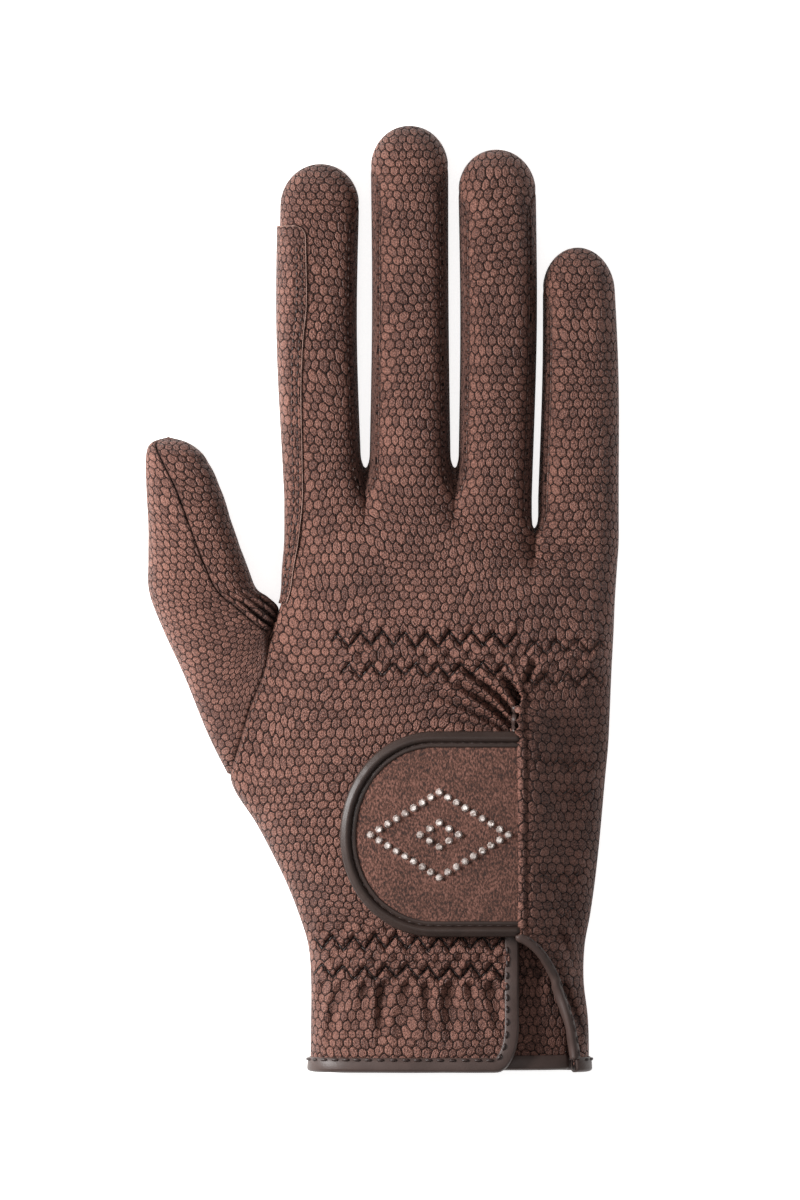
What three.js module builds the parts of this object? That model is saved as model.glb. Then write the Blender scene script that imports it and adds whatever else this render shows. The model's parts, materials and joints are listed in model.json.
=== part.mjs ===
// Horse riding glove for the right hand, lying on its palm as it does on a shelf: the fingers
// point along +Y, the back of the hand faces +Z and the thumb is on the -X side.
// Every length is in millimetres. The origin is on the floor under the middle of the palm.
import * as THREE from 'three';

const mix = (a, b, t) => a + (b - a) * t;
const steps = (from, to, count) => Array.from({ length: count + 1 }, (_, i) => mix(from, to, i / count));

// Overall sizes
const gloveLength = 236; // cuff hem to the tip of the middle finger
const handWidth = 84; // across the knuckles
const handDepth = 24; // floor to the back of the hand, at mid palm
const fingerDepth = 15.5; // floor to the top of a finger, at its root
const thumbDepth = 18; // floor to the top of the thumb
const originFromHem = 85; // hem to the middle of the palm

// Leather and the room between pieces
const leather = 1; // thickness of the glove leather
const seamGap = 0.4; // between two edges that meet in a seam
const layGap = 0.3; // between two pieces that lie on each other

// Fingers
const tipRound = 10.5; // length of a fingertip's rounding
const notchLength = 8; // length of the pointed notch between two fingers
const knuckleBlend = 16; // length over which the hand's back parts into fingers
const fourchetteAngle = 36; // how far up its side a finger's seam runs, degrees
const stripLeast = 12; // angle of the seam at which the strip between two fingers ends, degrees
const stripStart = 1.4; // from a notch to where the strip's two sides part

// Closing tab
const tabMiddle = 0.249 * gloveLength; // hem to the middle of the tab
const tabHalfHeight = 24.75;
const tabRound = 22.5; // length of the tab's rounded end
const tabReach = 44; // slit to the rounded end
const tabThickness = 1.2;
const tabBindingWidth = 3.5;
const tabTuck = 6; // how far the tab's base lies under the flap
const tuckInset = 4.5; // how much shorter the base is at each end

// Slit at the back of the wrist, and the vent that it opens into at the cuff
const slitX = 0.206 * handWidth; // from the middle of the hand to the slit
const slitTop = tabMiddle + tabHalfHeight + 11; // hem to the slit's closed end
const ventHeight = tabMiddle - tabHalfHeight - 1.5; // hem to the vent's point
const ventWidth = 0.16 * handWidth; // vent's width at the hem
const slitCornerWidth = 5; // rounding of the slit's corner at the hem
const slitCornerHeight = 11;
const flapReach = 14; // how far from its edge the raised flap settles down
const flapRun = 8; // length over which the flap rises at its upper end
const flapFoot = 17; // length over which it sinks at its lower end

// Binding of the hem, the slit and the tab
const bindingWidth = 2.4;
const bindingWall = 0.5;
const bindingSlot = 0.3; // room round the cloth inside the folded strip

// Reinforcement along the index finger
const patchWidth = 7;
const patchThickness = 0.8;
const patchTop = 0.892 * gloveLength; // hem to the patch's upper end
const patchFoot = 0.4915 * gloveLength; // hem to the patch's lower end
const patchUnder = 2.6; // how far it reaches under the finger

// Cut stones on the tab
const stoneDiameter = 2;
const stoneHeight = 0.9;
const stoneTable = 1.05; // width of the flat on top
const stoneFacets = 8;
const lozengeWidth = 34;
const lozengeHeight = 21;
const outerStones = 32;
const innerStones = 8;
const innerLozenge = 0.28; // the inner lozenge's size as a share of the outer one

// Shares that shape every section
const edgeShare = 0.46; // height of the side fold, as a share of the section's depth
const handSquareness = 3; // exponent of the hand's section
const fingerSquareness = 2.4; // exponent of a finger's section
const handCorner = 12; // rounding under the side of the hand
const fingerCorner = 0.7; // rounding under a finger, as a share of its half width
const seatOfThumb = 0.76; // height of the thumb seam's middle, as a share of handDepth

// Hand sections from the hem to the finger roots. at is a share of gloveLength, left and right
// are shares of handWidth and top is a share of handDepth.
const handRows = [
  { at: 0.0, left: -0.419, right: 0.411, top: 0.98 },
  { at: 0.051, left: -0.417, right: 0.408, top: 0.93 },
  { at: 0.093, left: -0.417, right: 0.395, top: 0.875 },
  { at: 0.13, left: -0.425, right: 0.398, top: 0.875 },
  { at: 0.162, left: -0.452, right: 0.414, top: 0.9 },
  { at: 0.194, left: -0.487, right: 0.427, top: 0.94 },
  { at: 0.226, left: -0.53, right: 0.4375, top: 0.97 },
  { at: 0.257, left: -0.576, right: 0.446, top: 0.99 },
  { at: 0.305, left: -0.655, right: 0.458, top: 1.0 },
  { at: 0.343, left: -0.631, right: 0.468, top: 1.0 },
  { at: 0.381, left: -0.599, right: 0.473, top: 0.99 },
  { at: 0.423, left: -0.555, right: 0.478, top: 0.965 },
  { at: 0.462, left: -0.539, right: 0.484, top: 0.93 },
  { at: 0.496, left: -0.502, right: 0.488, top: 0.88 },
  { at: 0.5275, left: -0.495, right: 0.494, top: 0.82 },
  { at: 0.559, left: -0.488, right: 0.5, top: 0.765 },
  { at: 0.604, left: -0.488, right: 0.5, top: 0.715 },
];

// Fingers: centre lines and half widths at the root, the middle and the tip as shares of
// handWidth, tip as a share of gloveLength and depth as a share of fingerDepth.
const fingerRows = [
  { name: 'index', centre: [-0.376, -0.396, -0.389], half: [0.112, 0.116, 0.118], tip: 0.9585, depth: 0.94 },
  { name: 'middle', centre: [-0.122, -0.121, -0.124], half: [0.1226, 0.1143, 0.116], tip: 0.9990, depth: 1 },
  { name: 'ring', centre: [0.131, 0.142, 0.136], half: [0.11, 0.1143, 0.1155], tip: 0.9737, depth: 1 },
  { name: 'little', centre: [0.38, 0.386, 0.378], half: [0.1202, 0.1135, 0.104], tip: 0.8697, depth: 0.9 },
];

// Where neighbouring fingers part: x is a share of handWidth, notch is where the back's edges
// meet and web where the strip between the fingers ends, both shares of gloveLength.
const crotchRows = [
  { name: 'index_middle', x: -0.2545, notch: 0.604, web: 0.632 },
  { name: 'middle_ring', x: 0.012, notch: 0.604, web: 0.632 },
  { name: 'ring_little', x: 0.2486, notch: 0.5625, web: 0.57 },
];

// Thumb sections from its seam on the hand to the tip: the left and right ends of each section
// as shares of handWidth and gloveLength, top as a share of thumbDepth, and where the seams lie
// across it, above and below, from -1 at the left end to 1 at the right.
const thumbRows = [
  { leftX: -0.655, leftY: 0.305, rightX: -0.539, rightY: 0.462, top: 1.0, seam: 0.9, under: 0.9 },
  { leftX: -0.723, leftY: 0.353, rightX: -0.534, rightY: 0.473, top: 1.0, seam: 0.82, under: 0.7 },
  { leftX: -0.795, leftY: 0.416, rightX: -0.526, rightY: 0.487, top: 0.99, seam: 0.52, under: 0.4 },
  { leftX: -0.857, leftY: 0.464, rightX: -0.551, rightY: 0.499, top: 0.97, seam: 0.4, under: 0.2 },
  { leftX: -0.899, leftY: 0.504, rightX: -0.58, rightY: 0.5085, top: 0.95, seam: 0.27, under: 0.1 },
  { leftX: -0.902, leftY: 0.538, rightX: -0.604, rightY: 0.5297, top: 0.92, seam: 0.14, under: 0.0 },
  { leftX: -0.902, leftY: 0.575, rightX: -0.642, rightY: 0.567, top: 0.87, seam: -0.01, under: -0.1 },
  { leftX: -0.908, leftY: 0.615, rightX: -0.687, rightY: 0.6155, top: 0.82, seam: -0.21, under: -0.25 },
  { leftX: -0.909, leftY: 0.648, rightX: -0.733, rightY: 0.648, top: 0.75, seam: -0.52, under: -0.55 },
  { leftX: -0.893, leftY: 0.6625, rightX: -0.783, rightY: 0.6625, top: 0.65, seam: -0.85, under: -0.85 },
  { leftX: -0.842, leftY: 0.6688, rightX: -0.842, rightY: 0.6688, top: 0.46, seam: -1, under: -1 },
];
const thumbBow = 0.35; // share of the thumb over which the curved seam straightens
const thumbSteps = [0.045, ...steps(0.1, 0.8, 7)]; // rows shared by the thumb's two pieces

// Width of the index patch down the finger: at is a share of gloveLength, wide of patchWidth.
const patchRows = [
  { at: 0.487, wide: 0.2 },
  { at: 0.51, wide: 0.29 },
  { at: 0.5487, wide: 0.4 },
  { at: 0.599, wide: 0.57 },
  { at: 0.656, wide: 0.65 },
  { at: 0.713, wide: 0.72 },
  { at: 0.77, wide: 0.86 },
  { at: 0.81, wide: 1.0 },
  { at: 0.893, wide: 0.93 },
];

// Creases in the back: each is a valley from one point to another, in shares of handWidth and
// gloveLength, with its depth and half width in shares of handDepth.
const creaseRows = [
  { x0: 0.195, y0: 0.392, x1: 0.15, y1: 0.418, deep: 0.06, wide: 0.075 },
  { x0: 0.185, y0: 0.364, x1: 0.02, y1: 0.425, deep: 0.075, wide: 0.085 },
  { x0: 0.18, y0: 0.36, x1: -0.02, y1: 0.396, deep: 0.06, wide: 0.085 },
  { x0: 0.25, y0: 0.425, x1: 0.205, y1: 0.4, deep: 0.05, wide: 0.075 },
];
// Gathers between the elastic and the hem
const gatherCount = 7;
const gatherFoot = 0.028; // lower end, as a share of gloveLength
const gatherHead = 0.122; // upper end
const gatherSpread = 0.83; // the row's width, as a share of the back left of the slit
const gatherDeep = 0.045; // as a share of handDepth
const gatherWide = 0.085;
// Folds in the crotch of the thumb
const crotchFoldDeep = 0.018; // as a share of thumbDepth

// How finely the sheets are divided
const rowStep = 7.4;
const fingerSteps = 4;
const tipSteps = 3;
const evenPasses = 2; // how often the inner side's directions are evened out
const backColumns = [6, 5, 5, 6];
const palmColumns = [5, 4, 4, 5];

const degree = Math.PI / 180;
const slope = 1e-3; // step for measuring how a surface runs
const clamp = (t) => Math.min(1, Math.max(0, t));
const smooth = (from, to, at) => {
  const t = clamp((at - from) / (to - from));
  return t * t * (3 - 2 * t);
};
const bulge = (s, power) => Math.pow(Math.max(0, 1 - Math.pow(Math.abs(s), power)), 1 / power);
const power = (value, exponent) => Math.sign(value) * Math.pow(Math.abs(value), exponent);

// Value of a table's column at a position, on a smooth curve through its rows.
function along(rows, key, column, at) {
  const last = rows.length - 1;
  let i = 0;
  while (i < last - 1 && at > rows[i + 1][key]) i += 1;
  const slopeAt = (j) => {
    const a = rows[Math.max(0, j - 1)];
    const b = rows[Math.min(last, j + 1)];
    return (b[column] - a[column]) / (b[key] - a[key]);
  };
  const [a, b] = [rows[i], rows[i + 1]];
  const span = b[key] - a[key];
  const t = clamp((at - a[key]) / span);
  const [t2, t3] = [t * t, t * t * t];
  return (2 * t3 - 3 * t2 + 1) * a[column] + (t3 - 2 * t2 + t) * span * slopeAt(i)
    + (3 * t2 - 2 * t3) * b[column] + (t3 - t2) * span * slopeAt(i + 1);
}

// Rows from knot to knot, each stretch cut into equal steps.
function stations(knots, step) {
  const rows = [knots[0]];
  for (let i = 1; i < knots.length; i += 1) {
    const count = Math.max(1, Math.round((knots[i] - knots[i - 1]) / step));
    for (let j = 1; j <= count; j += 1) rows.push(mix(knots[i - 1], knots[i], j / count));
  }
  return rows;
}

// Heights under a section: flat on the floor, rounded up to the side over the corner length.
const underside = (edge, fromSide, corner) => {
  const q = 1 - clamp(fromSide / corner);
  return edge * (1 - Math.sqrt(1 - q * q));
};

// The hand

const thumbLow = thumbRows[0].leftY * gloveLength;
const thumbHigh = thumbRows[0].rightY * gloveLength;

function handSection(y) {
  const at = y / gloveLength;
  const top = along(handRows, 'at', 'top', at) * handDepth;
  return {
    left: along(handRows, 'at', 'left', at) * handWidth,
    right: along(handRows, 'at', 'right', at) * handWidth,
    top,
    edge: top * edgeShare,
  };
}

// Height of the seam round the thumb's opening, s from -1 at its lower end to 1 at the crotch.
function thumbSeamHeight(side, s) {
  const low = handSection(thumbLow).edge;
  const edge = mix(low, handSection(thumbHigh).edge, (s + 1) / 2);
  if (side > 0) return edge + (handDepth * seatOfThumb - edge) * bulge(s, fingerSquareness);
  return underside(edge, 1 - Math.abs(s), fingerCorner);
}

// Height of the hand's left side at a row: the side fold, or the seam round the thumb.
function leftHeight(side, y) {
  if (y <= thumbLow || y >= thumbHigh) return handSection(y).edge;
  return thumbSeamHeight(side, mix(-1, 1, (y - thumbLow) / (thumbHigh - thumbLow)));
}

const hemStand = bindingWall + bindingSlot;

function handHeight(side, x, y) {
  const { left, right, top, edge } = handSection(y);
  const middle = (left + right) / 2;
  const s = Math.max(-1, Math.min(1, (x - middle) / ((right - left) / 2)));
  const end = s < 0 ? leftHeight(side, y) : edge;
  if (side < 0) {
    const fromSide = s < 0 ? x - left : right - x;
    const stand = hemStand * (1 - smooth(bindingWidth, 4 * bindingWidth, y));
    const open = s < 0 ? clamp((2 * (edge - end)) / edge) : 0;
    const slant = end * (1 - clamp(fromSide / handCorner)) ** 2;
    return mix(underside(end, fromSide, handCorner), slant, open) + stand * clamp(fromSide / handCorner);
  }
  const open = s < 0 ? clamp((2 * (end - edge)) / (top - edge)) : 0;
  const rise = Math.pow(1 - Math.pow(Math.abs(s), mix(handSquareness, 2, open)), mix(1 / handSquareness, 1, open));
  return end + (top - end) * rise;
}

// How far the creases and gathers sink the back at a point.
function valley(x, y, crease) {
  const [dx, dy] = [crease.x1 - crease.x0, crease.y1 - crease.y0];
  const t = ((x - crease.x0) * dx + (y - crease.y0) * dy) / (dx * dx + dy * dy);
  const near = clamp(t);
  const away = Math.hypot(x - crease.x0 - near * dx, y - crease.y0 - near * dy) / crease.wide;
  return crease.deep * Math.exp(-away * away);
}

const creases = creaseRows.map((row) => ({
  x0: row.x0 * handWidth, y0: row.y0 * gloveLength, x1: row.x1 * handWidth, y1: row.y1 * gloveLength,
  deep: row.deep * handDepth, wide: row.wide * handDepth,
}));
for (const share of steps(1 - gatherSpread, gatherSpread, gatherCount - 1)) {
  const [foot, head] = [gatherFoot * gloveLength, gatherHead * gloveLength];
  const across = (y) => mix(handSection(y).left, slitX, share);
  creases.push({
    x0: across(foot), y0: foot, x1: across(head), y1: head,
    deep: gatherDeep * handDepth, wide: gatherWide * handDepth,
  });
}
const creasing = (x, y) => creases.reduce((sum, crease) => sum + valley(x, y, crease), 0);

// The slit: its left edge runs down to a rounded corner at the hem, and the flap right of it
// stands over the tab and opens into the vent.

const slitLeft = (y) => {
  const up = 1 - clamp(y / slitCornerHeight);
  return slitX - hemStand - layGap - slitCornerWidth * (1 - Math.sqrt(1 - up * up));
};
const ventCurve = 1.6; // exponent of the vent's curved edge
const flapEdge = (y) => slitX + seamGap / 2 + ventWidth * bulge(clamp(y / ventHeight), ventCurve);
const tabLift = 2 * hemStand + layGap; // room under the tab for the bindings of its edge and the slit
const flapLift = tabLift + tabThickness + layGap + leather;
function flapRise(x, y) {
  const foot = tabMiddle - tabHalfHeight;
  const along = smooth(slitTop, slitTop - flapRun, y) * smooth(foot - flapFoot, foot - layGap, y);
  return flapLift * along * (1 - smooth(0, flapReach, x - flapEdge(y)));
}

// The fingers

const fingers = fingerRows.map((row) => ({
  ...row,
  tip: row.tip * gloveLength,
  stationsOf: (key) => row[key].map((value, i) => ({ at: i / 2, value: value * handWidth })),
}));
const crotches = crotchRows.map((row) => ({
  ...row, x: row.x * handWidth, notch: row.notch * gloveLength, web: row.web * gloveLength,
}));
const root = Math.max(...crotches.map((crotch) => crotch.notch));
const notchOf = (crotch, side) => (side > 0 ? crotch.notch : crotch.web);

function fingerSection(k, y) {
  const finger = fingers[k];
  const t = clamp((y - root) / (finger.tip - root));
  const into = clamp((y - finger.tip + tipRound) / tipRound);
  const round = Math.sqrt(1 - into * into);
  const top = mix(1, 0.84, t) * finger.depth * fingerDepth;
  return {
    centre: along(finger.stationsOf('centre'), 'at', 'value', t),
    half: along(finger.stationsOf('half'), 'at', 'value', t) * round,
    top, edge: top * edgeShare, round,
  };
}

// Angle of the seam beside a neighbour; the strip between them runs out before the tip.
function seamAngle(k, y) {
  const start = fingers[k].tip - tipRound;
  return fourchetteAngle * degree * (1 - smooth(start - tipRound / 2, start + tipRound / 4, y));
}
const across = (angle) => power(Math.cos(angle), 2 / fingerSquareness);
const opening = (past) => 1 - (1 - clamp(past / notchLength)) ** 2;

// Ends of a finger's share of the panel at a row: on the finger itself its seams or its side
// folds, below the notch the line along which the hand is divided between the fingers.
function bounds(side, k, y) {
  const hand = handSection(y);
  const { centre, half } = fingerSection(k, y);
  const seam = half * across(seamAngle(k, y));
  const end = (at) => {
    const outer = at < 0 ? k === 0 : k === fingers.length - 1;
    if (outer) {
      const handSide = at < 0 ? hand.left : hand.right;
      return mix(handSide, centre + at * half, smooth(root - knuckleBlend, root, y));
    }
    const crotch = crotches[at < 0 ? k - 1 : k];
    const notch = notchOf(crotch, side);
    if (y >= notch) return mix(crotch.x, centre + at * seam, opening(y - notch));
    if (crotch !== crotches[2]) {
      const parting = handSection(notch);
      return mix(hand.left, hand.right, (crotch.x - parting.left) / (parting.right - parting.left));
    }
    if (side < 0 || y >= slitTop) return mix(slitX, crotch.x, smooth(slitTop - seamGap, notch, y));
    return at < 0 ? flapEdge(y) : slitLeft(y);
  };
  return { left: end(-1), right: end(1) };
}

function fingerHeight(side, k, angle, y) {
  const { half, top, edge, round } = fingerSection(k, y);
  if (side > 0) return edge + (top - edge) * round * power(Math.sin(angle), 2 / fingerSquareness);
  const low = underside(edge, half * (1 - Math.abs(across(angle))), fingerCorner * Math.max(half, 1e-6));
  return edge - (edge - low) * round;
}

// A point of the glove's skin, side 1 on the back and -1 on the palm, in finger k's share of it,
// c from 0 at that share's left end to 1 at its right end.
function skin(side, k, c, y) {
  const seam = seamAngle(k, y);
  const rightAngle = k === fingers.length - 1 ? 0 : seam;
  const leftAngle = k === 0 ? Math.PI : Math.PI - seam;
  const angle = mix(leftAngle, rightAngle, c);
  const share = (across(angle) - across(leftAngle)) / (across(rightAngle) - across(leftAngle));
  const { left, right } = bounds(side, k, y);
  const x = mix(left, right, share);
  const leftCrotch = crotches[Math.max(0, k - 1)];
  const rightCrotch = crotches[Math.min(crotches.length - 1, k)];
  const parting = mix(leftCrotch.notch, rightCrotch.notch, share);
  const onFinger = smooth(parting - knuckleBlend, parting, y);
  const below = (crotch) => y <= notchOf(crotch, side);
  const match = (other, ownAngle, otherAngle) => (
    fingerHeight(side, other, otherAngle, y) - fingerHeight(side, k, ownAngle, y)) / 2;
  let finger = fingerHeight(side, k, angle, y);
  if (k > 0 && below(leftCrotch)) {
    finger += match(k - 1, Math.PI - seam, seamAngle(k - 1, y)) * Math.pow(1 - share, 4);
  }
  if (k < fingers.length - 1 && below(rightCrotch)) {
    finger += match(k + 1, seam, Math.PI - seamAngle(k + 1, y)) * Math.pow(share, 4);
  }
  let z = mix(handHeight(side, x, y), finger, onFinger);
  if (side > 0) {
    z -= creasing(x, y);
    if (k === fingers.length - 1 && y < slitTop) z += flapRise(x, y);
  }
  return new THREE.Vector3(x, y, z);
}

const onOpening = (k, c, y) => k === 0 && c === 0 && y > thumbLow + slope && y < thumbHigh - slope;
const onFold = (k, c, y) => {
  if (onOpening(k, c, y)) return false;
  const last = fingers.length - 1;
  const outer = (k === 0 && c === 0) || (k === last && c === 1);
  return outer || ((c === 0 || c === 1) && y > root && seamAngle(k, y) === 0);
};

// A point of a panel: the skin, drawn back from the seams by half their gap.
function panelPoint(side, k, c, y) {
  const p = skin(side, k, c, y);
  if (onFold(k, c, y) || y > fingers[k].tip - slope) p.z += (side * seamGap) / 2;
  return p;
}

// Where across finger k's share a given x lies.
function columnAt(k, x, y) {
  const seam = seamAngle(k, y);
  const rightAngle = k === fingers.length - 1 ? 0 : seam;
  const leftAngle = k === 0 ? Math.PI : Math.PI - seam;
  const { left, right } = bounds(1, k, y);
  const value = mix(across(leftAngle), across(rightAngle), clamp((x - left) / (right - left)));
  return (leftAngle - Math.acos(power(value, fingerSquareness / 2))) / (leftAngle - rightAngle);
}

// Outward normal of a surface at(u, v), measured by small steps that stay inside its range.
function normalOf(at, u, v, range, outward) {
  const du = u + slope > range.u ? -slope : slope;
  const dv = v + slope > range.v ? -slope : slope;
  const p = at(u, v);
  const a = at(u + du, v).sub(p).multiplyScalar(Math.sign(du));
  const b = at(u, v + dv).sub(p).multiplyScalar(Math.sign(dv));
  const normal = a.cross(b).multiplyScalar(outward);
  return normal.length() > 1e-12 ? normal.normalize() : new THREE.Vector3(0, 1, 0);
}
function skinNormal(side, k, c, y) {
  const range = { u: 1, v: fingers[k].tip - slope };
  const normal = normalOf((u, v) => skin(side, k, u, v), c, Math.min(y, range.v), range, side);
  if (onFold(k, c, y) || y > range.v) normal.setZ(0);
  return normal.normalize();
}

// The thumb

// A point of the thumb's skin: angle 0 at its right side, half a turn at its left, negative
// below; v from 0 at the seam on the hand to 1 at the tip.
const thumbStations = thumbRows.map((row, i) => ({ ...row, v: i / (thumbRows.length - 1) }));
const thumbValue = (column, v) => along(thumbStations, 'v', column, v);

function thumbSkin(angle, v) {
  const s = across(angle);
  const t = (s + 1) / 2;
  const left = new THREE.Vector2(thumbValue('leftX', v) * handWidth, thumbValue('leftY', v) * gloveLength);
  const right = new THREE.Vector2(thumbValue('rightX', v) * handWidth, thumbValue('rightY', v) * gloveLength);
  const place = left.clone().lerp(right, t);
  const bow = 1 - smooth(0, thumbBow, v);
  const baseY = mix(thumbLow, thumbHigh, t);
  const baseLeft = thumbRows[0];
  const straight = mix(baseLeft.leftX, baseLeft.rightX, t) * handWidth;
  place.x += (handSection(baseY).left - straight) * bow;
  const side = angle >= 0 ? 1 : -1;
  const half = left.distanceTo(right) / 2;
  const top = Math.max(thumbValue('top', v), edgeShare) * thumbDepth;
  const ownEdge = thumbDepth * edgeShare;
  const round = Math.sqrt(1 - Math.pow(smooth(0.75, 1, v), 2));
  const own = side > 0
    ? ownEdge + (top - ownEdge) * round * power(Math.sin(angle), 2 / fingerSquareness)
    : ownEdge - (ownEdge - underside(ownEdge, half * (1 - Math.abs(s)), fingerCorner * Math.max(half, 1e-6))) * round;
  const z = mix(thumbSeamHeight(side, s), own, smooth(0, thumbBow, v));
  const inCrotch = smooth(0.1, 0.5, s) * smooth(0.05, 0.15, v) * (1 - smooth(0.35, 0.5, v));
  const fold = crotchFoldDeep * thumbDepth * Math.cos(v * 10 * Math.PI) * inCrotch;
  return new THREE.Vector3(place.x, place.y, side > 0 ? z + fold : z);
}

// Angle of the thumb's seam, above (1) or below (-1).
const thumbSeam = (side, v) => {
  const s = Math.max(-1, thumbValue(side > 0 ? 'seam' : 'under', v));
  return side * Math.acos(power(s, fingerSquareness / 2));
};

// Half the gap along the thumb's own seams, as an angle.
function thumbGap(v) {
  const across = (thumbValue('rightX', v) - thumbValue('leftX', v)) * handWidth;
  const up = (thumbValue('rightY', v) - thumbValue('leftY', v)) * gloveLength;
  return seamGap / Math.max(Math.hypot(across, up), seamGap * 10);
}

// The thumb's rim on its seam with the hand: the hand's edge, moved across the seam.
function thumbRim(angle) {
  const side = angle >= 0 && angle < Math.PI ? 1 : -1;
  const y = mix(thumbLow, thumbHigh, (across(angle) + 1) / 2);
  const edge = skin(side, 0, 0, y);
  const normal = skinNormal(side, 0, 0, y);
  const ahead = skin(side, 0, 0, Math.min(y, thumbHigh - slope) + slope).sub(
    skin(side, 0, 0, Math.min(y, thumbHigh - slope)));
  if (onFold(0, 0, y)) ahead.set(0, 0, side);
  const away = normal.clone().cross(ahead).normalize().multiplyScalar(side);
  return { p: edge.addScaledVector(away, seamGap), normal };
}

// Sheets and solids

// A sheet of cloth: points with outward normals, and faces. Points that fall together are one.
class Sheet {
  constructor() {
    this.points = [];
    this.normals = [];
    this.faces = [];
    this.found = new Map();
  }

  point(p, normal) {
    const key = p.toArray().map((value) => Math.round(value * 1000)).join();
    if (!this.found.has(key)) {
      this.found.set(key, this.points.length);
      this.points.push(p);
      this.normals.push(new THREE.Vector3());
    }
    const index = this.found.get(key);
    this.normals[index].add(normal);
    return index;
  }

  face(...corners) {
    const distinct = corners.filter((corner, i) => corner !== corners[(i + 1) % corners.length]);
    if (distinct.length > 2) this.faces.push(distinct);
  }

  // Adds a grid of points given row by row; the faces are turned when outward is negative.
  grid(rows, outward) {
    for (let i = 1; i < rows.length; i += 1) {
      for (let j = 1; j < rows[i].length; j += 1) {
        const [a, b, c, d] = [rows[i - 1][j - 1], rows[i - 1][j], rows[i][j], rows[i][j - 1]];
        if (outward > 0) this.face(a, b, c, d);
        else this.face(d, c, b, a);
      }
    }
  }
}

const triangles = (sheet) => sheet.faces.flatMap((f) => {
  if (f.length === 3) return [f];
  const [a, b, c, d] = f.map((index) => sheet.points[index]);
  return a.distanceTo(c) <= b.distanceTo(d)
    ? [[f[0], f[1], f[2]], [f[0], f[2], f[3]]]
    : [[f[0], f[1], f[3]], [f[1], f[2], f[3]]];
});

function geometryOf(points, faces) {
  let volume = 0;
  for (const [a, b, c] of faces) volume += points[a].dot(points[b].clone().cross(points[c]));
  const index = volume < 0 ? faces.map(([a, b, c]) => [a, c, b]) : faces;
  const geometry = new THREE.BufferGeometry();
  geometry.setAttribute('position', new THREE.Float32BufferAttribute(points.flatMap((p) => p.toArray()), 3));
  geometry.setIndex(index.flat());
  geometry.computeVertexNormals();
  return geometry;
}

// Normals evened out over the sheet, apart from its rim's, so that its inner side has no folds.
function evened(sheet, faces, rim) {
  let normals = sheet.normals.map((normal) => normal.clone().normalize());
  for (let pass = 0; pass < evenPasses; pass += 1) {
    const sums = normals.map((normal) => normal.clone());
    for (const [a, b, c] of faces) {
      for (const [i, j] of [[a, b], [b, c], [c, a]]) {
        sums[i].addScaledVector(normals[j], 0.5);
        sums[j].addScaledVector(normals[i], 0.5);
      }
    }
    normals = sums.map((sum, i) => (rim.has(i) ? normals[i] : sum.normalize()));
  }
  return normals;
}

// Gives a sheet its thickness inwards and closes it round its rim.
function thicken(sheet, thickness) {
  const outer = triangles(sheet);
  const count = sheet.points.length;
  const edges = new Map();
  for (const [a, b, c] of outer) for (const [i, j] of [[a, b], [b, c], [c, a]]) edges.set(`${i},${j}`, [i, j]);
  const open = [...edges.values()].filter(([i, j]) => !edges.has(`${j},${i}`));
  const normals = evened(sheet, outer, new Set(open.flat()));
  const inner = sheet.points.map((p, i) => p.clone().addScaledVector(normals[i], -thickness));
  const faces = [...outer, ...outer.map(([a, b, c]) => [a + count, c + count, b + count])];
  for (const [i, j] of open) faces.push([j, i, i + count], [j, i + count, j + count]);
  return geometryOf([...sheet.points, ...inner], faces);
}

// Normals from the faces themselves, for a sheet that shares no edge with another.
function faceNormals(sheet) {
  sheet.normals.forEach((normal) => normal.set(0, 0, 0));
  for (const [a, b, c] of triangles(sheet)) {
    const [p, q, r] = [a, b, c].map((index) => sheet.points[index]);
    const normal = q.clone().sub(p).cross(r.clone().sub(p));
    for (const index of [a, b, c]) sheet.normals[index].add(normal);
  }
  return sheet;
}

// A grid of points at(u, v) as a sheet; pick says how a value of u becomes a place on the row.
function sheetOf(us, vs, at, normalAt, outward) {
  const sheet = new Sheet();
  const rows = vs.map((v) => us.map((u) => sheet.point(at(u, v), normalAt(u, v))));
  sheet.grid(rows, outward);
  return sheet;
}

// A folded strip carried along a cloth edge, with the cloth on the right of its path.
function binding(frames, width, cloth) {
  const high = bindingSlot + bindingWall;
  const low = -cloth - high;
  const profile = [
    [width, bindingSlot], [width, high], [-high, high - bindingWall / 2], [-high, low + bindingWall / 2],
    [width, low], [width, low + bindingWall], [-bindingSlot, low + bindingWall], [-bindingSlot, bindingSlot],
  ];
  const size = profile.length;
  const points = frames.flatMap(({ p, inward, normal }) => profile.map(([i, h]) => (
    p.clone().addScaledVector(inward, i).addScaledVector(normal, h))));
  const faces = [];
  for (let i = 1; i < frames.length; i += 1) {
    for (let j = 0; j < size; j += 1) {
      const [a, b] = [(i - 1) * size + j, (i - 1) * size + ((j + 1) % size)];
      faces.push([a, b, b + size], [a, b + size, a + size]);
    }
  }
  const end = (frames.length - 1) * size;
  const outline = profile.map(([i, h]) => new THREE.Vector2(i, h));
  for (const [a, b, c] of THREE.ShapeUtils.triangulateShape(outline, [])) {
    faces.push([a, c, b], [a + end, b + end, c + end]);
  }
  return geometryOf(points, faces);
}

// Frames along a sheet's edge from pairs of points: one on the edge and one further in.
function framesAlong(sheet, pairs) {
  const points = pairs.map(([edge]) => sheet.points[edge]);
  return pairs.map(([edge, further], i) => {
    const p = points[i];
    const ahead = points[Math.min(points.length - 1, i + 1)];
    const behind = points[Math.max(0, i - 1)];
    const path = ahead.clone().sub(behind).normalize();
    const inward = sheet.points[further].clone().sub(p);
    inward.addScaledVector(path, -inward.dot(path)).normalize();
    return { p, inward, normal: inward.clone().cross(path) };
  });
}

// Pieces

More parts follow.
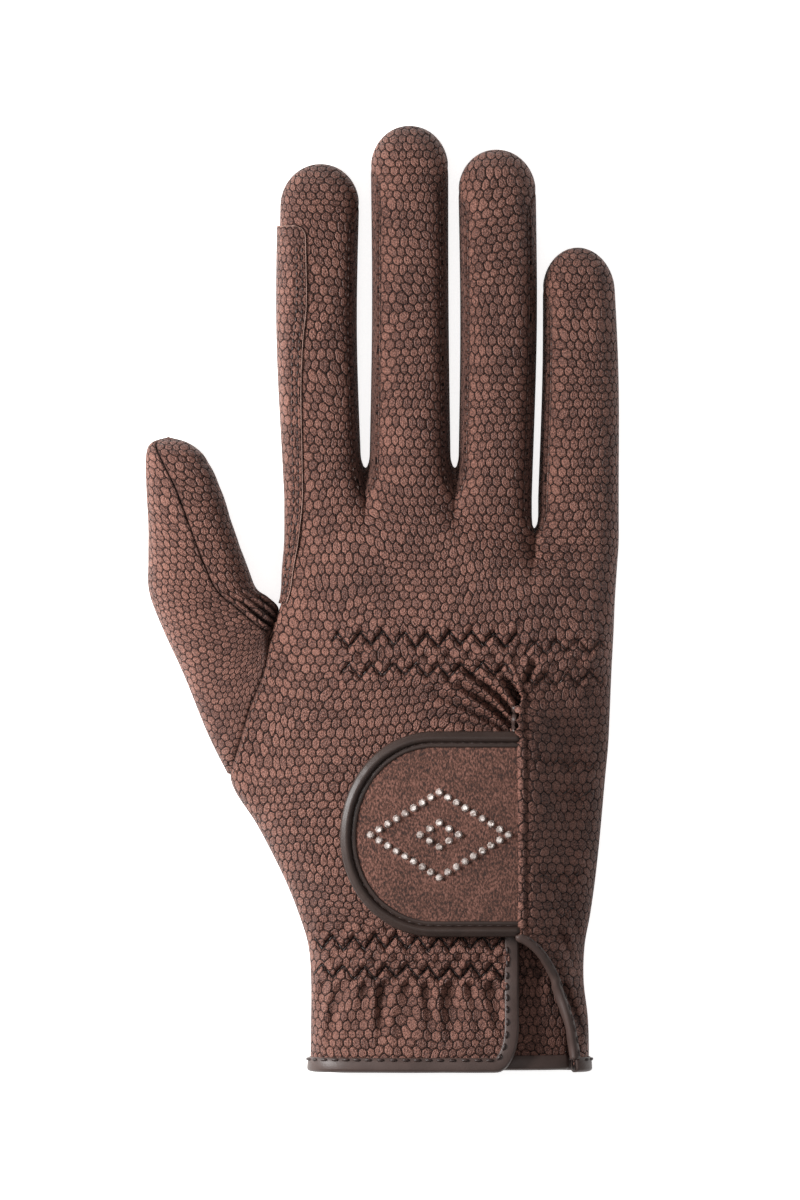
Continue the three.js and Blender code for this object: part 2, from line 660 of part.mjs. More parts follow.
// The back or the palm: one panel that runs from the hem into the four fingers.
function panel(side, columns) {
  const sheet = new Sheet();
  const row = (k, y) => steps(0, 1, columns[k]).map((c) => (
    sheet.point(panelPoint(side, k, c, y), skinNormal(side, k, c, y))));
  const ys = handStations(side);
  const rows = fingers.map((_, k) => ys.map((y) => row(k, y)));
  rows.forEach((hand, k) => sheet.grid([...hand, ...fingerStations(side, k).map((y) => row(k, y))], side));
  return { sheet, rows, ys };
}

// Rows up the hand and along the fingers; the back and the palm have as many beyond a notch.
const pastNotch = [stripStart, notchLength / 2, notchLength];
const thumbCrotch = mix(thumbLow, thumbHigh, (1 + thumbRows[0].seam) / 2);
const knots = [slitCornerHeight, ventHeight, thumbLow, slitTop, thumbCrotch, thumbHigh];
function handStations(side) {
  const foot = side > 0 ? [0, 0.12, 0.34, 0.64].map((share) => share * slitCornerHeight) : [0, bindingWidth];
  const first = notchOf(crotches[2], side);
  const last = notchOf(crotches[0], side);
  return [...foot, ...stations([...knots, first], rowStep), ...pastNotch.map((past) => first + past), last];
}
function fingerStations(side, k) {
  const first = notchOf(crotches[0], side);
  const start = fingers[k].tip - tipRound;
  const tips = steps(0, 90, tipSteps).slice(1).map((turn) => start + tipRound * Math.sin(turn * degree));
  return [
    ...pastNotch.map((past) => first + past),
    ...steps(first + notchLength, start - tipRound / 2, fingerSteps).slice(1),
    start - tipRound / 8, start + tipRound / 5, ...tips,
  ];
}

// The strip between two fingers: down one finger's side, round the crotch and up the next.
function fourchette(c) {
  const crotch = crotches[c];
  // A point of the strip's rim: the panel's edge, moved across the seam.
  const rim = (side, k, y) => {
    const at = k === c ? 1 : 0;
    const normal = skinNormal(side, k, at, y);
    const ahead = skin(side, k, at, y + slope).sub(skin(side, k, at, y));
    const away = normal.clone().cross(ahead).normalize().multiplyScalar(side * (k === c ? -1 : 1));
    return { p: skin(side, k, at, y).addScaledVector(away, seamGap), normal };
  };
  const apex = (side) => {
    const y = notchOf(crotch, side);
    const normal = skinNormal(side, c, 1, y).add(skinNormal(side, c + 1, 0, y)).normalize();
    return { p: skin(side, c, 1, y).add(new THREE.Vector3(0, 1.5 * seamGap, 0)), normal };
  };
  const rowsPast = (side, k) => [...handStations(side), ...fingerStations(side, k)]
    .filter((y) => y > notchOf(crotch, side) + seamGap);
  const column = (k, y, low) => {
    const { centre, half, edge } = fingerSection(k, low);
    const outside = centre + (k === c ? half : -half);
    const past = clamp((low - crotch.web + stripStart) / (0.7 * notchLength));
    const middle = new THREE.Vector3(mix(crotch.x, outside, 1 - (1 - past) ** 2), low, edge);
    return [rim(1, k, y), middle, rim(-1, k, low)];
  };
  const climb = (k) => {
    const lows = rowsPast(-1, k);
    return rowsPast(1, k).map((y, i) => [y, lows[i]])
      .filter(([y]) => y < fingers[k].tip - tipRound && seamAngle(k, y) > stripLeast * degree)
      .map(([y, low]) => column(k, y, low));
  };
  const web = new THREE.Vector3(crotch.x, crotch.web, fingerSection(c, crotch.web).edge);
  const columns = [...climb(c).reverse(), [apex(1), web, apex(-1)], ...climb(c + 1)];
  const sheet = new Sheet();
  const rows = columns.map(([a, m, b]) => steps(0, 1, 4).map((r) => {
    const pull = m.clone().multiplyScalar(2).addScaledVector(a.p, -0.5).addScaledVector(b.p, -0.5);
    const p = a.p.clone().multiplyScalar((1 - r) * (1 - r)).addScaledVector(pull, 2 * r * (1 - r))
      .addScaledVector(b.p, r * r);
    return sheet.point(p, new THREE.Vector3());
  }));
  sheet.grid(rows, -1);
  faceNormals(sheet);
  rows.forEach((row, i) => {
    sheet.normals[row[0]].copy(columns[i][0].normal);
    sheet.normals[row[row.length - 1]].copy(columns[i][2].normal);
  });
  return thicken(sheet, leather);
}

// A piece of the thumb from the angle ends(v)[0] round to ends(v)[1]; its first row is the seam
// with the hand.
function thumbPiece(ends, us, vs, outward) {
  const turned = (angle) => (angle > Math.PI ? angle - 2 * Math.PI : angle);
  const at = (u, v) => thumbSkin(turned(mix(...ends(v), u)), v);
  const rim = (u) => thumbRim(mix(...ends(0), u));
  const place = (u, v) => (v > 0 ? at(u, v) : rim(u).p);
  const normalAt = (u, v) => (v > 0 ? normalOf(at, u, v, { u: 1, v: 1 }, outward) : rim(u).normal);
  return thicken(sheetOf(us, vs, place, normalAt, outward), leather);
}

function thumbOuter() {
  const ends = (v) => [thumbSeam(1, v) + thumbGap(v), 2 * Math.PI + thumbSeam(-1, v) - thumbGap(v)];
  // The columns start from the hand's own rows, so that the two edges of the seam match.
  const [first, last] = ends(0);
  const angles = handStations(1).filter((y) => y > thumbLow + seamGap && y < thumbCrotch - seamGap)
    .map((y) => Math.acos(power(mix(-1, 1, (y - thumbLow) / (thumbHigh - thumbLow)), fingerSquareness / 2)))
    .reverse();
  const us = [first, ...angles, Math.PI, ...angles.map((angle) => 2 * Math.PI - angle).reverse(), last]
    .map((angle) => (angle - first) / (last - first));
  return thumbPiece(ends, us, [0, ...thumbSteps, 0.83, 0.865], -1);
}

function thumbInner() {
  const ends = (v) => [thumbSeam(1, v) - thumbGap(v), thumbSeam(-1, v) + thumbGap(v)];
  return thumbPiece(ends, steps(0, 1, 8), [...thumbSteps, 0.87, 0.92, 0.965, 1], 1);
}

// Skin of the back without its slit, raised by a height.
function backPoint(x, y, raise) {
  const at = (u, v) => new THREE.Vector3(u, v, handHeight(1, u, v));
  const normal = normalOf(at, x, y, { u: handWidth, v: gloveLength }, 1);
  return at(x, y).addScaledVector(normal, raise);
}
const backNormal = (x, y) => normalOf((u, v) => backPoint(u, v, 0), x, y, { u: handWidth, v: gloveLength }, 1);

// The patch along the index finger's outer side, wrapped from the back to the palm.
function indexPatch() {
  const raise = layGap + patchThickness;
  const us = [-1, -0.45, -0.12, 0, 0.12, 0.3, 0.6, 1];
  const place = (u, y) => {
    const side = u < 0 ? -1 : 1;
    const wide = side > 0 ? along(patchRows, 'at', 'wide', y / gloveLength) * patchWidth : patchUnder;
    const corner = side > 0 ? smooth(patchTop + 1, patchTop - 3, y) : 1;
    const { left } = bounds(1, 0, y);
    const c = columnAt(0, left + Math.abs(u) * wide * mix(0.55, 1, corner), y);
    return { side, c };
  };
  const at = (u, y) => {
    const { side, c } = place(u, y);
    return skin(side, 0, c, y).addScaledVector(skinNormal(side, 0, c, y), raise);
  };
  const normalAt = (u, y) => {
    const { side, c } = place(u, y);
    return skinNormal(side, 0, c, y);
  };
  const ys = [...stations([patchFoot, root, patchTop - 3], 1.6 * rowStep), patchTop];
  return thicken(sheetOf(us, ys, at, normalAt, 1), patchThickness);
}

// The piece behind the vent and the slit, inside the glove.
const gussetDepth = leather + 2 * hemStand + layGap;
const gussetSide = 3; // how far it reaches past the edges that it closes
const gussetRight = (y) => Math.min(flapEdge(y), handSection(y).right - 3) + gussetSide * smooth(0, ventHeight, y);
function ventGusset() {
  const at = (u, y) => backPoint(mix(slitX - slitCornerWidth - gussetSide, gussetRight(y), u), y, -gussetDepth);
  const us = steps(0, 1, 6);
  const vs = stations([hemStand, slitCornerHeight, ventHeight, slitTop - 2 * flapRun], 1.3 * rowStep);
  const sheet = faceNormals(sheetOf(us, vs, at, () => new THREE.Vector3(), 1));
  const hem = us.map((_, i) => us.length - 1 - i);
  return {
    solid: thicken(sheet, leather),
    frames: framesAlong(sheet, hem.map((i) => [i, i + us.length])),
  };
}

// The tab: a D of suede whose straight end lies under the flap.
const tabCentre = slitX - tabReach + tabRound;
const tabEnd = slitX - hemStand; // where the tab's binding stops, at the flap
function tabHeight(x) {
  if (x > tabEnd + 0.1) return tabHalfHeight - tuckInset;
  return tabHalfHeight * (x > tabCentre ? 1 : Math.sqrt(Math.max(0, 1 - ((tabCentre - x) / tabRound) ** 2)));
}
const tabPoint = (x, y) => {
  const under = smooth(slitX - seamGap, slitX + tabTuck, x);
  const lying = tabLift + tabThickness;
  const tucked = flapRise(x + leather, tabMiddle) - leather - 2 * layGap;
  return backPoint(x, y, mix(lying, Math.min(lying, tucked), under));
};
function closingTab() {
  const xs = [
    ...steps(0, 90, 6).map((turn) => tabCentre - tabRound * Math.cos(turn * degree)),
    ...steps(tabCentre, tabEnd, 3).slice(1), tabEnd + 0.6, slitX + tabTuck / 2, slitX + tabTuck,
  ];
  const sheet = new Sheet();
  const ts = steps(-1, 1, 8);
  const rows = xs.map((x) => ts.map((t) => sheet.point(tabPoint(x, tabMiddle + t * tabHeight(x)), new THREE.Vector3())));
  sheet.grid(rows, -1);
  faceNormals(sheet);
  const bound = rows.filter((_, i) => xs[i] <= tabEnd + 1e-6);
  const middle = rows[6][ts.length >> 1];
  const edge = [...bound.slice(1).map((row) => [row[0], row[1]]).reverse(), [rows[0][0], middle],
    ...bound.slice(1).map((row) => [row[ts.length - 1], row[ts.length - 2]])];
  return { solid: thicken(sheet, tabThickness), frames: framesAlong(sheet, edge) };
}

// A cut stone: an eight-sided foot, a turned eight-sided table and the facets between them.
function stoneGeometry() {
  const ring = (radius, z, turn) => Array.from({ length: stoneFacets }, (_, i) => {
    const angle = ((i + turn) / stoneFacets) * 2 * Math.PI;
    return new THREE.Vector3(radius * Math.cos(angle), radius * Math.sin(angle), z);
  });
  const points = [...ring(stoneDiameter / 2, 0, 0), ...ring(stoneTable / 2, stoneHeight, 0.5)];
  const faces = [];
  for (let i = 0; i < stoneFacets; i += 1) {
    const next = (i + 1) % stoneFacets;
    faces.push([i, next, stoneFacets + i], [next, stoneFacets + next, stoneFacets + i]);
    if (i > 1) faces.push([0, i, i - 1], [stoneFacets, stoneFacets + i - 1, stoneFacets + i]);
  }
  return geometryOf(points, faces);
}

// Places round a lozenge, evenly spaced from its right-hand corner.
function lozenge(width, height, count) {
  const corners = [[width / 2, 0], [0, height / 2], [-width / 2, 0], [0, -height / 2]];
  return Array.from({ length: count }, (_, i) => {
    const along = (i * 4) / count;
    const side = Math.floor(along);
    const [a, b] = [corners[side], corners[(side + 1) % 4]];
    return [mix(a[0], b[0], along - side), mix(a[1], b[1], along - side)];
  });
}

// Assembly

const finish = (color, roughness, metalness) => new THREE.MeshStandardMaterial({ color, roughness, metalness });
const grain = finish(0x6b4a40, 0.72, 0);
const trim = finish(0x3f322f, 0.5, 0);
const suede = finish(0x6a4232, 0.95, 0);
const crystal = finish(0xefe6e2, 0.08, 0.3);

const glove = new THREE.Group();
glove.position.y = -originFromHem;
const add = (name, geometry, material) => {
  const mesh = new THREE.Mesh(geometry, material);
  mesh.name = name;
  glove.add(mesh);
  return mesh;
};

const back = panel(1, backColumns);
const palm = panel(-1, palmColumns);
add('back_panel', thicken(back.sheet, leather), grain);
add('palm_panel', thicken(palm.sheet, leather), grain);
crotches.forEach((crotch, i) => add(`fourchette_${crotch.name}`, fourchette(i), grain));
add('thumb_outer', thumbOuter(), grain);
add('thumb_inner', thumbInner(), grain);
add('index_patch', indexPatch(), grain);

// The hem's binding starts at the slit, turns its corner and runs round the cuff to the vent.
function hemFrames() {
  const count = back.ys.filter((y) => y <= slitTop - flapRun).length;
  const slit = backColumns[2];
  const edgeOf = ({ rows }, k) => rows[k][0].map((index, j) => [index, rows[k][1][j]]);
  const slitEdge = back.rows[2].slice(1, count).map((row) => [row[slit], row[slit - 1]]).reverse();
  const corner = [[back.rows[2][0][slit], back.rows[2][2][slit - 1]]];
  const left = [2, 1, 0].flatMap((k) => edgeOf(back, k).slice(1, k === 2 ? -1 : undefined).reverse());
  const right = edgeOf(back, 3).slice(1, -1).reverse();
  const under = palm.rows.flatMap((_, k) => edgeOf(palm, k).slice(k > 0 ? 1 : 0));
  const backRun = framesAlong(back.sheet, [...slitEdge, ...corner, ...left]);
  return [...backRun, ...framesAlong(palm.sheet, under), ...framesAlong(back.sheet, right)];
}
add('hem_binding', binding(hemFrames(), bindingWidth, leather), trim);

const flapRows = back.ys.map((y, i) => [y, back.rows[3][i]])
  .filter(([y]) => y >= slitCornerHeight * 0.3 && y <= ventHeight)
  .map(([, row]) => [row[0], row[1]]);
add('vent_binding', binding(framesAlong(back.sheet, flapRows), bindingWidth, leather), trim);

const gusset = ventGusset();
add('vent_gusset', gusset.solid, grain);
add('gusset_binding', binding(gusset.frames, bindingWidth, leather), trim);

const tab = closingTab();
add('closing_tab', tab.solid, suede);
add('tab_binding', binding(tab.frames, tabBindingWidth, tabThickness), trim);

const stonePlaces = [
  ...lozenge(lozengeWidth, lozengeHeight, outerStones),
  ...lozenge(lozengeWidth * innerLozenge, lozengeHeight * innerLozenge, innerStones),
];
const stonesX = slitX - tabReach / 2 + tabBindingWidth / 2;
stonePlaces.forEach(([dx, dy], i) => {
  const [x, y] = [stonesX + dx, tabMiddle + dy];
  const normal = backNormal(x, y);
  const mesh = add(`crystal_${String(i + 1).padStart(2, '0')}`, stoneGeometry(), crystal);
  mesh.position.copy(backPoint(x, y, tabLift + tabThickness + layGap));
  mesh.quaternion.setFromUnitVectors(new THREE.Vector3(0, 0, 1), normal);
});

const part = new THREE.Group();
part.add(glove);
export default part;
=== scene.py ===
# Horse riding glove for the right hand, lying on its palm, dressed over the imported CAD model.
# Work is in millimetres with y from the cuff's hem; meshes are put into metres at the end.
import json
import bpy
import numpy as np
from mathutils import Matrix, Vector

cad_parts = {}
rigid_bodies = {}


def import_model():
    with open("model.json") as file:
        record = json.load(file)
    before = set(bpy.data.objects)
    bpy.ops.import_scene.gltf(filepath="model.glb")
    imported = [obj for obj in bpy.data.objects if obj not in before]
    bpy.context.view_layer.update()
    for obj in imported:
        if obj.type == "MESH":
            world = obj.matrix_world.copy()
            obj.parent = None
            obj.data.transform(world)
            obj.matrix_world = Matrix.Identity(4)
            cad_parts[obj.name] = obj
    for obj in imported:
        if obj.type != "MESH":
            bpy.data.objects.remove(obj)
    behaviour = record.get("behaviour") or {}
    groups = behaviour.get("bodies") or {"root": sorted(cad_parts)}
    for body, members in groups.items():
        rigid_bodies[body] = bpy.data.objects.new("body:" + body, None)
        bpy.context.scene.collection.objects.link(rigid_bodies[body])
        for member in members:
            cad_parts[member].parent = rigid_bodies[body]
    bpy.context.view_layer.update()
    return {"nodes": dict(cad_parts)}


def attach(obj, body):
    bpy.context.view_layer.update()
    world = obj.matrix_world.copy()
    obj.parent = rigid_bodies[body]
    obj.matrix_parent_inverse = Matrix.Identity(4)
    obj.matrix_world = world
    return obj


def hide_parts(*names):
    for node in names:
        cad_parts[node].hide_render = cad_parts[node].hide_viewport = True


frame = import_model()
scene = bpy.context.scene
print("frame loaded:", len(frame["nodes"]), "nodes")


def mix(a, b, t):
    # a where t is 0, b where t is 1
    return a + (b - a) * t


def smooth(start, end, at):
    # 3t^2 - 2t^3 with t running from 0 at start to 1 at end
    t = np.clip((at - start) / (end - start), 0, 1)
    return t * t * (3 - 2 * t)


def signedPower(value, exponent):
    # |value|^exponent with the value's sign
    return np.sign(value) * np.abs(value) ** exponent


def bulge(s, exponent):
    # height of a rounded arch over s from -1 to 1: (1 - |s|^p)^(1/p)
    return np.maximum(0, 1 - np.abs(s) ** exponent) ** (1 / exponent)


def along(table, column, at, key="at"):
    # smooth curve through a table's rows, with slopes taken from the neighbours
    xs, vs = np.array(table[key], float), np.array(table[column], float)
    last = len(xs) - 1
    before, after = np.maximum(np.arange(last + 1) - 1, 0), np.minimum(np.arange(last + 1) + 1, last)
    slopes = (vs[after] - vs[before]) / (xs[after] - xs[before])
    i = np.searchsorted(xs[1:last], at, side="left")
    span = xs[i + 1] - xs[i]
    t = np.clip((at - xs[i]) / span, 0, 1)
    return ((2 * t**3 - 3 * t**2 + 1) * vs[i] + (t**3 - 2 * t**2 + t) * span * slopes[i]
            + (3 * t**2 - 2 * t**3) * vs[i + 1] + (t**3 - t**2) * span * slopes[i + 1])


def runs(knots, step):
    # places from knot to knot, each stretch cut into equal steps
    parts = [np.linspace(a, b, max(1, round((b - a) / step)) + 1)[1:] for a, b in zip(knots, knots[1:])]
    return np.concatenate([[knots[0]], *parts])


def unit(v):
    return v / np.maximum(np.linalg.norm(v, axis=-1, keepdims=True), 1e-12)


def bell(distance, wide):
    # 1 at the middle, falling off as e^-(distance / wide)^2
    return np.exp(-((distance / wide) ** 2))


def roundOver(distance, reach):
    # a quarter circle's fall: 1 at the edge, 0 from the reach inwards
    q = 1 - np.clip(distance / reach, 0, 1)
    return 1 - np.sqrt(1 - q * q)


def arcAlong(line):
    # arc length along a line of points, from its first
    return np.concatenate([[0], np.cumsum(np.linalg.norm(np.diff(line, axis=0), axis=-1))])


def valuesAlong(line, arc, at):
    # a line's points at given arc lengths
    return np.stack([np.interp(at, arc, line[:, i]) for i in range(3)], axis=-1)


def arcAcross(points):
    # arc length along each row of a grid, from its first column
    steps = np.linalg.norm(np.diff(points, axis=1), axis=-1)
    return np.concatenate([np.zeros((len(points), 1)), np.cumsum(steps, axis=1)], axis=1)


glove = {
    "length": 236, "width": 84, "depth": 24, "fingerDepth": 15.5, "thumbDepth": 18, "hemToOrigin": 85,
    "leather": 1.0, "seamGap": 0.4, "edgeShare": 0.46, "corner": 12,
}
handRows = {
    "at": [0, .051, .093, .13, .162, .194, .226, .257, .305, .343, .381, .423, .462, .496, .5275, .559, .604],
    "left": [-.419, -.417, -.417, -.425, -.452, -.487, -.53, -.576, -.655, -.631, -.599, -.555, -.539, -.502,
             -.495, -.488, -.488],
    "right": [.411, .408, .395, .398, .414, .427, .4375, .446, .458, .468, .473, .478, .484, .488, .494,
              .5, .5],
    "top": [.98, .93, .875, .875, .9, .94, .97, .99, 1, 1, .99, .965, .93, .88, .82, .765, .715],
}
fingerRows = {
    "centre": [[-.376, -.396, -.389], [-.122, -.121, -.124], [.131, .142, .136], [.38, .386, .378]],
    "half": [[.112, .116, .118], [.1226, .1143, .116], [.11, .1143, .1155], [.1202, .1135, .104]],
    "tip": [.9585, .9990, .9737, .8697], "depth": [.94, 1, 1, .9],
    "tipRound": 10.5, "notch": 8, "blend": 16, "seamAngle": 36, "squareness": 2.4, "corner": .7,
}
crotchRows = {"x": [-.2545, .012, .2486], "notch": [.604, .604, .5625], "web": [.632, .632, .57]}
thumbRows = {
    "leftX": [-.655, -.723, -.795, -.857, -.899, -.902, -.902, -.908, -.909, -.893, -.842],
    "leftY": [.305, .353, .416, .464, .504, .538, .575, .615, .648, .6625, .6688],
    "rightX": [-.539, -.527, -.514, -.545, -.58, -.604, -.642, -.687, -.733, -.783, -.842],
    "rightY": [.462, .473, .487, .499, .5085, .5297, .567, .6155, .648, .6625, .6688],
    "top": [1, 1, .99, .97, .95, .92, .87, .82, .75, .65, .46],
    "seam": [.9, .82, .52, .4, .27, .14, -.01, -.21, -.52, -.72, -.8],
    "under": [.9, .7, .4, .2, .1, 0, -.1, -.25, -.55, -.72, -.8],
    "v": np.linspace(0, 1, 11), "bow": .35,
}
tab = {
    "middle": .249 * 236, "halfHeight": 24.75, "round": 22.5, "reach": 44, "thickness": 1.2,
    "tuck": 6, "inset": 4.5,
}
hemStand, layGap = .8, .3
slit = {
    "x": .206 * 84, "top": tab["middle"] + 35.75, "vent": tab["middle"] - 26.25, "ventWidth": .16 * 84,
    "cornerWidth": 5, "cornerHeight": 11, "flapReach": 14, "flapRun": 8, "flapFoot": 17,
}
tabLift = 2 * hemStand + layGap
flapLift = tabLift + tab["thickness"] + layGap + glove["leather"]
thumbLow, thumbHigh = .305 * glove["length"], .462 * glove["length"]
crotchX = np.array(crotchRows["x"]) * glove["width"]
# heights of the crotches on the back (1) and on the palm (-1)
notchY = {side: np.array(crotchRows[row]) * glove["length"] for side, row in ((1, "notch"), (-1, "web"))}
rootY = notchY[1][0]
tipY = np.array(fingerRows["tip"]) * glove["length"]


def underside(edge, fromSide, corner):
    # flat on the floor, rounded up to the side over the corner length
    return edge * roundOver(fromSide, corner)


def handSection(y):
    # the hand's left and right x, its height, and the height of its side edges
    at = y / glove["length"]
    top = along(handRows, "top", at) * glove["depth"]
    left, right = [along(handRows, side, at) * glove["width"] for side in ("left", "right")]
    return left, right, top, top * glove["edgeShare"]


def thumbSeamHeight(side, s):
    # height of the seam round the thumb's opening, s from -1 at its lower end to 1 at the crotch
    low, high = handSection(thumbLow)[3], handSection(thumbHigh)[3]
    edge = mix(low, high, (s + 1) / 2)
    above = edge + (glove["depth"] * .76 - edge) * bulge(s, fingerRows["squareness"])
    return np.where(side > 0, above, underside(edge, 1 - np.abs(s), fingerRows["corner"]))


def handHeight(side, x, y):
    # a squarish arch above, a flat with round corners below; its left end rises round the thumb
    left, right, top, edge = handSection(y)
    s = np.clip((x - (left + right) / 2) / ((right - left) / 2), -1, 1)
    def openingHeight(at):
        rounded = thumbSeamHeight(side, np.clip(2 * (at - thumbLow) / (thumbHigh - thumbLow) - 1, -1, 1))
        return np.where((at <= thumbLow) | (at >= thumbHigh), edge, rounded)
    end = openingHeight(y)
    if side > 0:
        # away from the rim the opening's ends fade out softly
        soft = sum(openingHeight(y + shift) for shift in (-9, -6, -3, 0, 3, 6, 9)) / 7
        end = mix(end, soft, smooth(.5, 7, x - left))
    end = np.where(s < 0, end, edge)
    if side < 0:
        fromSide = np.where(s < 0, x - left, right - x)
        stand = hemStand * (1 - smooth(2.4, 9.6, y))
        opened = np.where(s < 0, np.clip(2 * (edge - end) / edge, 0, 1), 0)
        near = np.clip(fromSide / glove["corner"], 0, 1)
        return mix(underside(end, fromSide, glove["corner"]), end * (1 - near) ** 2, opened) + stand * near
    opened = np.where(s < 0, np.clip(2 * (end - edge) / (top - edge), 0, 1), 0)
    rise = np.maximum(0, 1 - np.abs(s) ** mix(3, 2, opened)) ** mix(1 / 3, 1, opened)
    return end + (top - end) * rise


def slitLeft(y):
    # x of the slit's left side, which curves away to the left at the hem
    return slit["x"] - hemStand - layGap - slit["cornerWidth"] * roundOver(y, slit["cornerHeight"])


def flapEdge(y):
    # x of the flap's left edge, which bows out to the right below the tab
    return slit["x"] + glove["seamGap"] / 2 + slit["ventWidth"] * bulge(np.clip(y / slit["vent"], 0, 1), 1.6)


def flapRise(x, y):
    # how far the flap right of the slit stands up over the tab
    foot = tab["middle"] - tab["halfHeight"]
    lengthwise = smooth(slit["top"], slit["top"] - slit["flapRun"], y)
    lengthwise = lengthwise * smooth(foot - slit["flapFoot"], foot - layGap, y)
    atSide = smooth(0, 4, handSection(y)[1] - x)
    return flapLift * lengthwise * atSide * (1 - smooth(0, slit["flapReach"], x - flapEdge(y)))


def fingerSection(k, y):
    # finger k's middle, half width, height and edge height, closed by a quarter circle at the tip
    t = np.clip((y - rootY) / (tipY[k] - rootY), 0, 1)
    into = np.clip((y - tipY[k] + fingerRows["tipRound"]) / fingerRows["tipRound"], 0, 1)
    rounded = np.sqrt(1 - into * into)
    top = mix(1, .84, t) * fingerRows["depth"][k] * glove["fingerDepth"]
    rows = {"at": [0, .5, 1], "centre": fingerRows["centre"][k], "half": fingerRows["half"][k]}
    centre = along(rows, "centre", t) * glove["width"]
    half = along(rows, "half", t) * glove["width"] * rounded
    return centre, half, top, top * glove["edgeShare"], rounded


def seamAngle(k, y):
    # how far up the finger's side its seam lies; the two seams meet before the tip
    start = tipY[k] - fingerRows["tipRound"]
    return np.radians(fingerRows["seamAngle"]) * (1 - smooth(start - 5.25, start + 2.625, y))


def across(angle):
    # from -1 to 1 across a squarish section
    return signedPower(np.cos(angle), 2 / fingerRows["squareness"])


def shareEnd(side, k, y, at):
    # x of the left (-1) or right (1) end of finger k's share of the panel
    handLeft, handRight = handSection(y)[:2]
    centre, half = fingerSection(k, y)[:2]
    if (at < 0 and k == 0) or (at > 0 and k == 3):
        onFinger = smooth(rootY - fingerRows["blend"], rootY, y)
        return mix(handLeft if at < 0 else handRight, centre + at * half, onFinger)
    i = k - 1 if at < 0 else k
    notch = notchY[side][i]
    opened = 1 - (1 - np.clip((y - notch) / fingerRows["notch"], 0, 1)) ** 2
    onFinger = mix(crotchX[i], centre + at * half * across(seamAngle(k, y)), opened)
    if i < 2:
        partLeft, partRight = handSection(notch)[:2]
        onHand = mix(handLeft, handRight, (crotchX[i] - partLeft) / (partRight - partLeft))
    else:
        onHand = mix(slit["x"], crotchX[i], smooth(slit["top"] - glove["seamGap"], notch, y))
        if side > 0:
            onHand = np.where(y >= slit["top"], onHand, flapEdge(y) if at < 0 else slitLeft(y))
    return np.where(y >= notch, onFinger, onHand)


def fingerHeight(side, k, angle, y):
    # the finger's own section: a squarish arch above its edge, a flat with round corners below
    _, half, top, edge, rounded = fingerSection(k, y)
    if side > 0:
        return edge + (top - edge) * rounded * signedPower(np.sin(angle), 2 / fingerRows["squareness"])
    low = underside(edge, half * (1 - np.abs(across(angle))), fingerRows["corner"] * np.maximum(half, 1e-6))
    return edge - (edge - low) * rounded


def skin(side, k, c, y):
    # a point of the skin: c from 0 to 1 across finger k's share, the hand's section below the
    # notches turning into the finger's own section above them
    seam = seamAngle(k, y)
    rightAngle = seam * (k < 3)
    leftAngle = np.pi - seam * (k > 0)
    angle = mix(leftAngle, rightAngle, c)
    share = (across(angle) - across(leftAngle)) / (across(rightAngle) - across(leftAngle))
    x = mix(shareEnd(side, k, y, -1), shareEnd(side, k, y, 1), share)
    leftCrotch, rightCrotch = max(0, k - 1), min(2, k)
    parting = mix(notchY[1][leftCrotch], notchY[1][rightCrotch], share)
    onFinger = smooth(parting - fingerRows["blend"], parting, y) ** 2
    finger = fingerHeight(side, k, angle, y)
    for other, crotch, own, theirs, weight in (
        (k - 1, leftCrotch, np.pi - seam, lambda: seamAngle(k - 1, y), (1 - share) ** 4),
        (k + 1, rightCrotch, seam, lambda: np.pi - seamAngle(k + 1, y), share**4),
    ):
        if 0 <= other <= 3:
            match = (fingerHeight(side, other, theirs(), y) - fingerHeight(side, k, own, y)) / 2
            finger = finger + np.where(y <= notchY[side][crotch], match * weight, 0)
    z = mix(handHeight(side, x, y), finger, onFinger)
    if side > 0 and k == 3:
        z = z + np.where(y < slit["top"], flapRise(x, y), 0)
    return np.stack(np.broadcast_arrays(x, y, z), axis=-1)


# valleys: points down the middle of each fold, its depth and its half width
folds = [
    {"path": [(16.2, 92.5), (14.4, 96.5), (10.5, 101.5)], "deep": 2.6, "wide": .9},
    {"path": [(15.6, 88.5), (11, 93.8), (4, 99.4), (-1, 101.5)], "deep": 2.0, "wide": .8},
    {"path": [(15.4, 85.5), (10, 90.8), (3, 95.8), (-6, 99.5)], "deep": 2.3, "wide": .85},
    {"path": [(14.5, 84.2), (6, 89.2), (-2, 93), (-13, 97)], "deep": 1.7, "wide": .9},
    {"path": [(10, 84.4), (1, 87.6), (-11, 90.5)], "deep": .9, "wide": 1.0},
    {"path": [(19, 97), (20.3, 100.5), (20.5, 104)], "deep": 1.3, "wide": .9},
    {"path": [(28, 20.8), (33, 9.5), (31.2, 2)], "deep": 1.0, "wide": 1.1},
    {"path": [(27, 34), (31, 27), (34, 20)], "deep": .7, "wide": 1.2},
    {"path": [(31, 36), (33.5, 30), (35.5, 25)], "deep": .5, "wide": 1.0},
]
